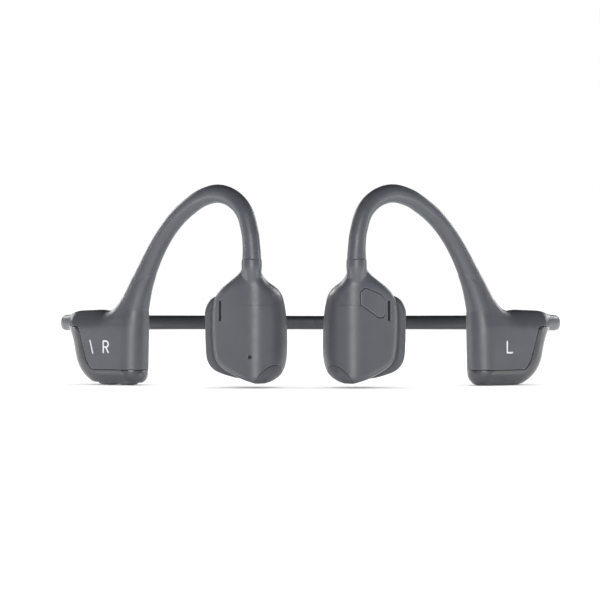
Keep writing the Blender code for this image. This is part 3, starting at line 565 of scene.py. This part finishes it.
HOOK_LINE = smooth_line(HOOK_PATH, 5)
flare = smooth_line(FLARE, 4)
HOUSING_OUTLINE = np.concatenate([
    rounded_polygon([*HOUSING_CORNERS, (46.6, 18.25, 0.1), (34.75, 18.25, 0.1)])[:4 * 9],
    flare[:, [2, 0]], flare[::-1][:, [1, 0]],
])
WING_STATIONS = np.concatenate([np.linspace(-1, 0, 4), np.linspace(0.08, 1.4, 26)])
WING_LINE = np.array([band_centre(s)[0] for s in WING_STATIONS])[:, :2]
WING_BOX = ((40, -25), (70, 30))
ARM_BOX = ((-7, -3), (66, 53))


def side_outline(u, z):
    """The hook and the housing in side view."""
    hook = line_distance(np.stack([u, z], 1), HOOK_LINE[:, :2], HOOK_LINE[:, 2])[0]
    return smooth_min(hook, inside_distance(u, z, HOUSING_OUTLINE), 0.8)


def wing_line_distance(x, y):
    """Distance in plan to the wing's centre line, and the place on it."""
    return line_distance(np.stack([x, y], 1), WING_LINE, np.zeros(len(WING_LINE)))


side_edge = looked_up(side_outline, *ARM_BOX)
trim_edge = looked_up(lambda u, z: inside_distance(u, z, rounded_polygon(TRIM_SEAM)), *ARM_BOX)
wing_gap = looked_up(lambda x, y: wing_line_distance(x, y)[0], *WING_BOX)
wing_place = looked_up(lambda x, y: wing_line_distance(x, y)[1], *WING_BOX)
thickness_line = smooth_line(THICKNESS, 6)


def wing_station(points):
    return np.interp(wing_place(points[:, 0], points[:, 1]), np.arange(len(WING_STATIONS)), WING_STATIONS)


def wing(points):
    """The stub that leads from the housing into the neckband."""
    flat = wing_gap(points[:, 0], points[:, 1])
    share = np.maximum(wing_station(points), 0) / 2
    thick, height = mix(BAND_HALF_THICK, share), mix(BAND_HALF_HEIGHT, share)
    power = 2 / BAND_SQUARENESS
    rise = np.abs(points[:, 2] - mix(BAND_Z, share))
    shape = ((flat / thick) ** power + (rise / height) ** power) ** (1 / power)
    return (shape - 1) * np.minimum(thick, height)


def arm_body(points):
    """Hook, flare, housing and wing as one solid."""
    u, w, z = to_arm(points).T
    thickness = np.where(u < 20, THICKNESS[-1][1], np.interp(z, *thickness_line.T))
    solid = np.hypot(np.maximum(thickness + side_edge(u, z), 0), w) - thickness
    solid = smooth_min(solid, wing(points), WING_FILLET)
    return smooth_max(solid, -z, 0.3)


def arm_hollow(points):
    return smooth_max(arm_body(points) + WALL, points[:, 2] - HOLLOW_TOP_Z, 0.5)


def arm_shell(points):
    return smooth_max(arm_body(points), -arm_hollow(points), 0.2)


def trim_seam(points):
    u, w, z = to_arm(points).T
    return smooth_max(trim_edge(u, z), 0.3 - wing(points), 0.4)


def arm_skin(points, right):
    """The soft skin: hook, flare, upper housing and wing."""
    u, w, z = to_arm(points).T
    skin = smooth_max(arm_shell(points), SEAM - trim_seam(points), SEAM_ROUND)
    skin = smooth_max(skin, np.where(u < 15, HOOK_SEAM_Z - 0.6 - z, -9), 0.1)
    centre, heading = band_centre(BAND_SEAM_STATION)
    band_end = (points - centre) @ (math.cos(heading), math.sin(heading), 0)
    skin = smooth_max(skin, np.where(u > 50, band_end, -9), 0.15)
    if right:
        skin = smooth_max(skin, -lamp(points, 0.08, 1.3), 0.15)
        skin = smooth_max(skin, -port(points, 0.25), 0.3)
    return skin


def arm_trim(points, right):
    """The harder trim round the bottom and the rear edge."""
    u, w, z = to_arm(points).T
    trim = smooth_max(arm_shell(points), trim_seam(points) + SEAM, SEAM_ROUND)
    if right:
        trim = smooth_max(trim, KEY_PROUD - z, 0.4)
        trim = smooth_max(trim, -key_slot(u, w, 0.0), 0.25)
    return trim


def key_slot(u, w, shrink):
    """Distance to the round-ended slot of the volume keys, in plan."""
    front, rear, half = KEY_SLOT
    u = np.clip(u, front + half, rear - half) - u
    return np.hypot(u, w) - half + shrink


def lamp(points, growth, depth):
    """The slanted lamp slit in the housing's outer face."""
    u, w, z = to_arm(points).T
    du, dz = u - LED_U, z - LED_Z
    across = np.abs(du * math.cos(LED_TILT) - dz * math.sin(LED_TILT))
    along = np.abs(du * math.sin(LED_TILT) + dz * math.cos(LED_TILT))
    flat = np.hypot(across, np.maximum(along - LED_SIZE[1] / 2 + LED_SIZE[0] / 2, 0)) - LED_SIZE[0] / 2
    return np.maximum(flat - growth, np.maximum(HOUSING_HALF_THICK - depth - w, w - 9))


def lamp_lens(points):
    """The lens that fills the slit, a little below the skin."""
    return smooth_max(lamp(points, -0.03, 1.2), arm_body(points) + 0.04, 0.1)


def port(points, growth):
    """The socket's opening in the housing's inner face."""
    u, w, z = to_arm(points).T
    round_end = PORT_SIZE[1] / 2
    flat = np.hypot(np.maximum(np.abs(u - PORT_U) - PORT_SIZE[0] / 2 + round_end, 0), z - PORT_Z) - round_end
    return np.maximum(flat - growth, w + 2.6)


def volume_key(points, front, rear):
    """A crowned key in the slot under the right housing."""
    u, w, z = to_arm(points).T
    flat = smooth_max(key_slot(u, w, 0.22), np.maximum(front - u, u - rear), 0.5)
    middle = (front + rear) / 2
    crown = 0.35 * ((u - middle) / (rear - front) * 2) ** 2 + 0.25 * (w / KEY_SLOT[2]) ** 2
    key = smooth_max(flat, crown - z, 0.7)
    return smooth_max(key, z - 2.4, 0.2)


def side_letter(points, right):
    """A plain L or R in thin raised ink on the housing's outer face."""
    u, w, z = to_arm(points).T
    x = (LETTER_U - u) if right else (u - LETTER_U)
    flat = np.stack([x, z - LETTER_Z], 1)
    lines = LETTER_R if right else LETTER_L
    gaps = [line_distance(flat, np.array(line), np.full(len(line), LETTER_STROKE / 2))[0] for line in lines]
    stroke = np.min(gaps, axis=0)
    return slab(stroke, w - HOUSING_HALF_THICK, 0.07, 0.03)


# ---------------------------------------------------------------- the speaker pod

pod_edge = np.concatenate([smooth_line(POD_INNER_EDGE, 3), smooth_line(POD_OUTER_EDGE, 3)])
POD_OUTLINE = np.stack([pod_a(pod_edge[:, 0]), pod_edge[:, 1]], 1)[::-1]
neck_line = smooth_line(NECK_PATH, 10)[::-1]
ridge_line = smooth_line(RIDGE_LINE, 8)
pod_outline = looked_up(lambda a, z: inside_distance(a, z, POD_OUTLINE), (-5, -3), (25, 34))
pad_edge = smooth_line(PAD_OUTLINE, 4, closed=True)
pad_outline = looked_up(lambda a, z: inside_distance(a, z, pad_edge), (-3, -3), (24, 28))
BUTTON_EDGE = rounded_polygon([(x, y, 0.45) for x, y in BUTTON_OUTLINE], 4)


def half_plane(a, b, start, end):
    """Distance outwards from a face through two points in plan."""
    along_a, along_b = end[0] - start[0], end[1] - start[1]
    across = (a - start[0]) * along_b - (b - start[1]) * along_a
    return across * np.sign(along_a) / np.hypot(along_a, along_b)


def pod_wedge(points):
    """The pod's front: an inner and an outer face that meet in a soft ridge, cut to its outline and back."""
    a, b, z = to_pod(points).T
    ridge_a, ridge_b, back, width = [np.interp(z, ridge_line[:, 0], column) for column in ridge_line.T[1:]]
    inner = half_plane(a, b, INNER_EDGE, (ridge_a, ridge_b))
    inner = smooth_max(half_plane(a, b, *SIDE_FACE), inner, SIDE_ROUND)
    front = smooth_max(inner, half_plane(a, b, OUTER_EDGE, (ridge_a, ridge_b)), RIDGE_ROUND)
    # the fillet under the neck grows upwards and outwards
    fillet = 0.5 + (1.2 + 4.0 * ease(a, 7.5, 11.5)) * ease(z, 16.5, 24)
    neck = np.maximum(np.abs(a - ridge_a) - width, FLARE_START_Z - z)
    outline = smooth_min(pod_outline(a, z), neck, fillet)
    # the rim is softer on the inner side, at the foot and at the top
    edge = 0.9 + 3.3 * ease(-a, -9.0, -2.0) + 1.5 * ease(-z, -3.5, -0.5) * ease(-a, -12.0, -6.0)
    edge += 2.0 * ease(z, 22, 27)
    return smooth_max(smooth_max(front, outline, edge), b - back, 0.2 + 2.8 * ease(z, 22, 28))


def pod_body(points):
    """The wedge with the neck that carries the hook."""
    u, w, z = to_arm(points).T
    across, out, radius = [np.interp(z, neck_line[:, 2], neck_line[:, i]) for i in (0, 1, 3)]
    neck = np.maximum(np.hypot(u - across, w - out) - radius, neck_line[0, 2] - z)
    return smooth_min(pod_wedge(points) + 0.1 * ease(z, 24, 28), neck, 0.3)


def pod_shell(points, right):
    b = to_pod(points)[:, 1]
    t, n, z = to_face(points).T
    shell = smooth_max(pod_body(points), b - POD_BACK_B, 0.5)
    shell = smooth_max(shell, z - HOOK_SEAM_Z, 0.06)
    hollow = smooth_max(pod_wedge(points) + WALL, z - POD_HOLLOW_TOP_Z, 0.5)
    shell = smooth_max(shell, -hollow, 0.2)
    slot = slab(np.abs(t - SLOT_T) - SLOT_SIZE[0] / 2, z - SLOT_Z, SLOT_SIZE[1] / 2, 0.2)
    shell = smooth_max(shell, -np.maximum(slot, -n - SLOT_DEPTH), 0.15)
    if right:
        hole = np.hypot(t - MIC_T, z - MIC_Z) - MIC_HOLE_R
        shell = smooth_max(shell, -np.maximum(hole, -n - MIC_DEPTH), 0.15)
    else:
        pocket = np.maximum(button_edge(t, z) - BUTTON_GAP, -n - POCKET_DEPTH)
        shell = smooth_max(shell, -pocket, 0.15)
    return shell


def button_edge(t, z):
    return inside_distance(t - BUTTON_T, z - BUTTON_Z, BUTTON_EDGE)


def multifunction_button(points):
    """The button's face follows the pod's own surface, a little proud of it, with a soft edge."""
    t, n, z = to_face(points).T
    button = smooth_max(pod_body(points) - BUTTON_PROUD, button_edge(t, z), 0.2)
    return smooth_max(button, -n - BUTTON_DEPTH, 0.2)


def cap_ball(points):
    return np.linalg.norm(points - np.array(CAP_CENTRE), axis=1) - CAP_R


def pod_skin(points, right):
    return smooth_max(pod_shell(points, right), SEAM - cap_ball(points), 0.1)


def corner_cap(points):
    return smooth_max(pod_shell(points, True), cap_ball(points) + SEAM, 0.1)


def bone_pad(points):
    """The pad on the cheekbone: a pillow with round edges."""
    a, b, z = to_pod(points).T
    flat = pad_outline(a, z)
    crown = 0.12 * ease(-flat, 0.0, 5.0)
    return slab(flat, b - mix(PAD_B, 0.5), (PAD_B[1] - PAD_B[0]) / 2 - 0.12 + crown, 0.95)


def pad_surround(points):
    """The soft folded ring between the pod and its pad."""
    a, b, z = to_pod(points).T
    fold = 0.35 * np.cos((b - 0.6) * math.pi / 0.6)
    flat = pad_outline(a, z) + 1.75 + fold
    wall = np.abs(flat + 0.5) - 0.45
    return smooth_max(wall, np.abs(b - 0.6) - 0.95, 0.2)


# ---------------------------------------------------------------- materials

def shader_tree(name):
    """A new material, its node tree and its principled shader."""
    material = bpy.data.materials.new(name)
    material.use_nodes = True
    return material, material.node_tree, material.node_tree.nodes["Principled BSDF"]


def add_noise(tree, scale, detail, kind="ShaderNodeTexNoise"):
    """Noise on the piece's own coordinates; scale is in features for each metre."""
    place = tree.nodes.new("ShaderNodeTexCoord")
    noise = tree.nodes.new(kind)
    noise.inputs["Scale"].default_value = scale
    noise.inputs["Detail"].default_value = detail
    tree.links.new(place.outputs["Object"], noise.inputs["Vector"])
    return noise


def add_ramp(tree, source, low, high, stops=(0.3, 0.7)):
    ramp = tree.nodes.new("ShaderNodeValToRGB")
    for stop, place, colour in zip(ramp.color_ramp.elements, stops, (low, high)):
        stop.position = place
        stop.color = colour
    tree.links.new(source, ramp.inputs["Fac"])
    return ramp


def grey(value):
    return (value, value, value, 1)


def moulded(name, colour, roughness, spread=0.06, grain=26000, depth=0.00001, variation=0.05, specular=0.5,
            sheen=0.0, coat=0.0):
    """Moulded plastic or rubber: a fine grain, uneven gloss, and a painted highlight that makes sharp outward
    edges a little lighter.
    """
    material, tree, shader = shader_tree(name)
    shader.inputs["Specular IOR Level"].default_value = specular
    shader.inputs["Sheen Weight"].default_value = sheen
    shader.inputs["Sheen Roughness"].default_value = 0.4
    shader.inputs["Coat Weight"].default_value = coat
    shader.inputs["Coat Roughness"].default_value = 0.12
    clouds = add_noise(tree, 190, 4)
    base = add_ramp(tree, clouds.outputs["Fac"], (*[c * (1 - variation) for c in colour], 1),
                    (*[c * (1 + variation) for c in colour], 1))
    # painted highlight: the colour is a little lighter where the surface bends sharply outwards, as if the
    # edges caught the light
    edge_highlight_attribute = tree.nodes.new("ShaderNodeAttribute")
    edge_highlight_attribute.attribute_name = "painted_edge_highlight"
    edge_highlight_mix = tree.nodes.new("ShaderNodeMix")
    edge_highlight_mix.data_type = "RGBA"
    edge_highlight_mix.inputs["B"].default_value = (*[min(1, c * 1.15 + 0.004) for c in colour], 1)
    tree.links.new(edge_highlight_attribute.outputs["Fac"], edge_highlight_mix.inputs["Factor"])
    tree.links.new(base.outputs["Color"], edge_highlight_mix.inputs["A"])
    tree.links.new(edge_highlight_mix.outputs["Result"], shader.inputs["Base Color"])
    speckle = add_noise(tree, 420, 3).outputs["Fac"]
    gloss = add_ramp(tree, speckle, grey(roughness - spread), grey(roughness + spread))
    tree.links.new(gloss.outputs["Color"], shader.inputs["Roughness"])
    bump = tree.nodes.new("ShaderNodeBump")
    bump.inputs["Strength"].default_value = 0.35
    bump.inputs["Distance"].default_value = depth
    tree.links.new(add_noise(tree, grain, 2).outputs["Fac"], bump.inputs["Height"])
    tree.links.new(bump.outputs["Normal"], shader.inputs["Normal"])
    return material


def metal(name, colour, roughness, streak=(9000, 9000, 900)):
    """Drawn or pressed metal with fine streaks."""
    material, tree, shader = shader_tree(name)
    shader.inputs["Metallic"].default_value = 1
    place = tree.nodes.new("ShaderNodeTexCoord")
    stretch = tree.nodes.new("ShaderNodeMapping")
    stretch.inputs["Scale"].default_value = streak
    noise = tree.nodes.new("ShaderNodeTexNoise")
    noise.inputs["Scale"].default_value = 1
    noise.inputs["Detail"].default_value = 4
    tree.links.new(place.outputs["Object"], stretch.inputs["Vector"])
    tree.links.new(stretch.outputs["Vector"], noise.inputs["Vector"])
    base = add_ramp(tree, noise.outputs["Fac"], (*[c * 0.86 for c in colour], 1), (*colour, 1))
    tree.links.new(base.outputs["Color"], shader.inputs["Base Color"])
    gloss = add_ramp(tree, noise.outputs["Fac"], grey(roughness + 0.1), grey(roughness))
    tree.links.new(gloss.outputs["Color"], shader.inputs["Roughness"])
    return material


def woven(name, colour):
    """Fine black mesh over the sound slot, with painted shade in its holes."""
    material, tree, shader = shader_tree(name)
    shader.inputs["Metallic"].default_value = 0.6
    shader.inputs["Roughness"].default_value = 0.5
    place = tree.nodes.new("ShaderNodeTexCoord")
    hole_shade = tree.nodes.new("ShaderNodeTexVoronoi")
    hole_shade.inputs["Scale"].default_value = 6500
    hole_shade.inputs["Randomness"].default_value = 0.05
    tree.links.new(place.outputs["Object"], hole_shade.inputs["Vector"])
    # painted shade: the holes are near-black, standing for the dark slot seen through them
    base = add_ramp(tree, hole_shade.outputs["Distance"], grey(0.002), (*colour, 1), (0.25, 0.45))
    tree.links.new(base.outputs["Color"], shader.inputs["Base Color"])
    return material


def make_materials():
    return {
        "soft": moulded("soft_touch", (0.072, 0.078, 0.090), 0.37),
        "cap": moulded("soft_touch_cap", (0.050, 0.054, 0.062), 0.45),
        "button": moulded("button", (0.078, 0.084, 0.096), 0.37),
        "trim": moulded("trim", (0.032, 0.034, 0.040), 0.22, spread=0.02, depth=0.000001, coat=0.6),
        "key": moulded("key", (0.085, 0.094, 0.110), 0.38, depth=0.000004),
        "band": moulded("band_rubber", (0.026, 0.028, 0.033), 0.45, sheen=0.05),
        "pad": moulded("pad_silicone", (0.066, 0.071, 0.082), 0.6, depth=0.000008),
        "surround": moulded("surround_silicone", (0.028, 0.030, 0.035), 0.55),
        "frame": moulded("frame_plastic", (0.030, 0.032, 0.036), 0.42, depth=0.000006),
        "jacket": moulded("cable_jacket", (0.016, 0.017, 0.019), 0.5),
        "board": moulded("circuit_board", (0.012, 0.060, 0.036), 0.35, variation=0.25, depth=0.000004),
        "cell": moulded("battery_foil", (0.28, 0.31, 0.33), 0.33, variation=0.12, grain=7000),
        "diaphragm": moulded("diaphragm_film", (0.10, 0.10, 0.09), 0.25),
        "ink": moulded("side_letter_ink", (0.62, 0.64, 0.66), 0.4, depth=0.000002, variation=0.03),
        "lens": moulded("lamp_lens", (0.64, 0.67, 0.70), 0.22, depth=0.000002, variation=0.03, coat=0.5),
        "mesh": woven("vent_mesh", (0.035, 0.036, 0.040)),
        "steel": metal("steel", (0.56, 0.57, 0.58), 0.3),
        "wire": metal("spring_wire", (0.45, 0.44, 0.42), 0.35, (9000, 9000, 9000)),
        "magnet": metal("nickel_plate", (0.62, 0.60, 0.55), 0.22),
        "copper": metal("copper", (0.72, 0.36, 0.20), 0.35),
    }


# finish of the CAD nodes that keep their own shape, by the end of their names
NODE_FINISH = {
    "ear_hook": "soft", "housing_shell": "soft", "housing_trim": "trim", "pod_shell": "soft",
    "pod_corner_cap": "cap", "band_end_sleeve": "band", "neckband_sleeve": "band", "band_end_wire": "wire",
    "neckband_core_wire": "wire", "hook_wire": "wire", "hook_cable": "jacket", "vent_mesh": "mesh",
    "pod_back_plate": "frame", "speaker_driver": "magnet", "speaker_diaphragm": "diaphragm",
    "transducer_yoke": "steel", "transducer_magnet": "magnet", "transducer_spring": "steel",
    "pad_surround": "surround", "voice_coil": "copper", "drive_plate": "steel", "bone_pad": "pad",
    "battery_cell": "cell", "battery_board": "board", "button_switch": "steel", "main_board": "board",
    "usb_c_socket": "steel", "led_light_guide": "lens", "microphone": "steel",
    "volume_up_switch": "steel", "volume_down_switch": "steel", "multifunction_button": "button",
    "volume_up_button": "key", "volume_down_button": "key",
}


# ---------------------------------------------------------------- camera, light and floor

def add_camera():
    """Level, almost straight in front of the wearer's face, and far enough away to look flat."""
    data = bpy.data.cameras.new("camera")
    data.sensor_width = SENSOR_WIDTH
    data.lens = SENSOR_WIDTH * CAMERA_DISTANCE / CAMERA_WIDTH
    camera = bpy.data.objects.new("camera", data)
    bpy.context.scene.collection.objects.link(camera)
    turn = math.radians(CAMERA_AZIMUTH)
    away = Vector((math.sin(turn), -math.cos(turn), 0))
    target = Vector((CAMERA_SHIFT, CAMERA_PLANE_Y, CAMERA_Z))
    camera.location = (target + away * CAMERA_DISTANCE) * MM
    camera.rotation_euler = (math.radians(90), 0, turn)
    bpy.context.scene.camera = camera


def add_light(name, place, target, size, power):
    data = bpy.data.lights.new(name, "AREA")
    data.shape = "RECTANGLE"
    data.size, data.size_y = size
    data.energy = power
    light = bpy.data.objects.new(name, data)
    light.location = place
    light.rotation_euler = (Vector(target) - Vector(place)).to_track_quat("-Z", "Y").to_euler()
    bpy.context.scene.collection.objects.link(light)


def add_surround():
    """A world that lights the object softly from below and the sides, and is plain white to look at."""
    world = bpy.data.worlds.new("studio")
    bpy.context.scene.world = world
    world.use_nodes = True
    tree = world.node_tree
    fill = tree.nodes["Background"]
    place = tree.nodes.new("ShaderNodeTexCoord")
    split = tree.nodes.new("ShaderNodeSeparateXYZ")
    height = tree.nodes.new("ShaderNodeMapRange")
    height.inputs["From Min"].default_value = -1
    shade = tree.nodes.new("ShaderNodeValToRGB")
    stops = shade.color_ramp.elements
    stops[0].position, stops[1].position = SURROUND[0][0], SURROUND[-1][0]
    stops[0].color, stops[1].color = grey(SURROUND[0][1]), grey(SURROUND[-1][1])
    for stop, value in SURROUND[1:-1]:
        stops.new(stop).color = grey(value)
    white = tree.nodes.new("ShaderNodeBackground")
    white.inputs["Color"].default_value = grey(1)
    seen = tree.nodes.new("ShaderNodeLightPath")
    choose = tree.nodes.new("ShaderNodeMixShader")
    for source, target in ((place.outputs["Generated"], split.inputs["Vector"]),
                           (split.outputs["Z"], height.inputs["Value"]),
                           (height.outputs["Result"], shade.inputs["Fac"]),
                           (shade.outputs["Color"], fill.inputs["Color"]),
                           (seen.outputs["Is Camera Ray"], choose.inputs[0]),
                           (fill.outputs["Background"], choose.inputs[1]),
                           (white.outputs["Background"], choose.inputs[2]),
                           (choose.outputs["Shader"], tree.nodes["World Output"].inputs["Surface"])):
        tree.links.new(source, target)


def add_floor():
    """A pale floor. It throws no shadow, so the lights below its level reach the object."""
    mesh = bpy.data.meshes.new("studio_floor")
    corners = [(x * FLOOR_HALF, y * FLOOR_HALF, 0) for x, y in ((-1, -1), (1, -1), (1, 1), (-1, 1))]
    mesh.from_pydata(corners, [], [(0, 1, 2, 3)])
    floor = bpy.data.objects.new("studio_floor", mesh)
    floor.visible_shadow = False
    bpy.context.scene.collection.objects.link(floor)
    material, tree, shader = shader_tree("studio_paper")
    paper = add_ramp(tree, add_noise(tree, 30, 2).outputs["Fac"], grey(0.93), grey(0.95))
    tree.links.new(paper.outputs["Color"], shader.inputs["Base Color"])
    shader.inputs["Roughness"].default_value = 0.9
    shader.inputs["Specular IOR Level"].default_value = 0
    mesh.materials.append(material)
    return floor


def add_studio():
    """Soft light from the front, weaker light from below, the sides and behind, and a white floor."""
    add_surround()
    floor = add_floor()
    for light in MIDDLE_LIGHTS:
        add_light(*light)
    for side in (-1, 1):
        for name, (x, y, z), *rest in SIDE_LIGHTS:
            add_light(name, (side * x, y, z), *rest)
    sun = bpy.data.lights.new("overhead", "SUN")
    sun.energy = OVERHEAD_POWER
    sun.angle = math.radians(150)
    overhead = bpy.data.objects.new("overhead", sun)
    bpy.context.scene.collection.objects.link(overhead)
    lit = bpy.data.collections.new("lit_by_overhead")
    lit.objects.link(floor)
    overhead.light_linking.receiver_collection = lit
    bpy.context.scene.view_settings.view_transform = "Standard"


# ---------------------------------------------------------------- build

def add_arm(side, mirror, materials):
    body = side + "_arm"
    skin = add_form(side + "_arm_skin", lambda p: arm_skin(p, mirror), from_arm,
                    ((-4, -13, -0.6), (73, 5.4, 50)), 0.3, materials["soft"], mirror, body)
    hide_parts(side + "_ear_hook", side + "_housing_shell")
    trim = add_form(side + "_arm_trim", lambda p: arm_trim(p, mirror), from_arm,
                    ((33, -5, -0.6), (59, 5.4, 15.4)), 0.25, materials["trim"], mirror, body)
    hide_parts(side + "_housing_trim")
    reach = 3
    add_form(side + "_side_letter", lambda p: side_letter(p, mirror), from_arm,
             ((LETTER_U - reach, 4.0, LETTER_Z - reach), (LETTER_U + reach, 4.6, LETTER_Z + reach)), 0.1,
             materials["ink"], mirror, body)


def add_pod(side, mirror, materials):
    body = side + "_arm"
    shell = add_form(side + "_pod_skin", lambda p: pod_skin(p, mirror), from_pod,
                     ((-3, -13, -0.6), (20, 0.4, 31.6)), 0.25, materials["soft"], mirror, body)
    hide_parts(side + "_pod_shell")
    reach = CAP_R + 0.5
    centre = to_pod(np.array([CAP_CENTRE]))[0]
    cap = add_form(side + "_corner_cap", corner_cap, from_pod, (centre - reach, centre + reach), 0.2,
                   materials["cap"], mirror, body)
    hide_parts(side + "_pod_corner_cap")
    ring = add_form(side + "_pad_bellows", pad_surround, from_pod, ((-1, -1, -1), (21, 2.2, 25)), 0.2,
                    materials["surround"], mirror, body)
    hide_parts(side + "_pad_surround")
    pad = add_form(side + "_cheek_pad", bone_pad, from_pod, ((1, 1.2, 0), (20.5, 5.4, 24.5)), 0.25,
                   materials["pad"], mirror, side + "_transducer")
    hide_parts(side + "_bone_pad")


def add_controls(materials):
    """The button on the left pod, and the keys, lamp and charging port of the right housing."""
    box = ((BUTTON_T - 4, -2.4, BUTTON_Z - 4.2), (BUTTON_T + 4.2, 4.0, BUTTON_Z + 4.4))
    button = add_form("button_face", multifunction_button, from_face, box, 0.18, materials["button"], False,
                      "multifunction_button")
    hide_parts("multifunction_button")
    front, rear = KEY_SLOT[:2]
    for name, start, end in (("volume_up", front, KEY_SPLIT_U - KEY_GAP),
                             ("volume_down", KEY_SPLIT_U + KEY_GAP, rear)):
        key = add_form(name + "_key", lambda p: volume_key(p, start, end), from_arm,
                       ((start - 0.5, -2.8, -0.5), (end + 0.5, 2.8, 2.9)), 0.18, materials["key"], True,
                       name + "_button")
        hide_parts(name + "_button")
    lens = add_form("status_lamp_lens", lamp_lens, from_arm,
                    ((LED_U - 2, 2.4, LED_Z - 3), (LED_U + 2, 4.7, LED_Z + 3)), 0.12, materials["lens"], True,
                    "right_arm")
    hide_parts("right_led_light_guide")


def main():
    materials = make_materials()
    for name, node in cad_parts.items():
        finish = next(f for ending, f in NODE_FINISH.items() if name.endswith(ending))
        node.data.materials.clear()
        node.data.materials.append(materials[finish])
    for side, mirror in (("left", False), ("right", True)):
        add_arm(side, mirror, materials)
        add_pod(side, mirror, materials)
        add_band_half(side, mirror, materials)
    add_controls(materials)
    add_camera()
    add_studio()


main()
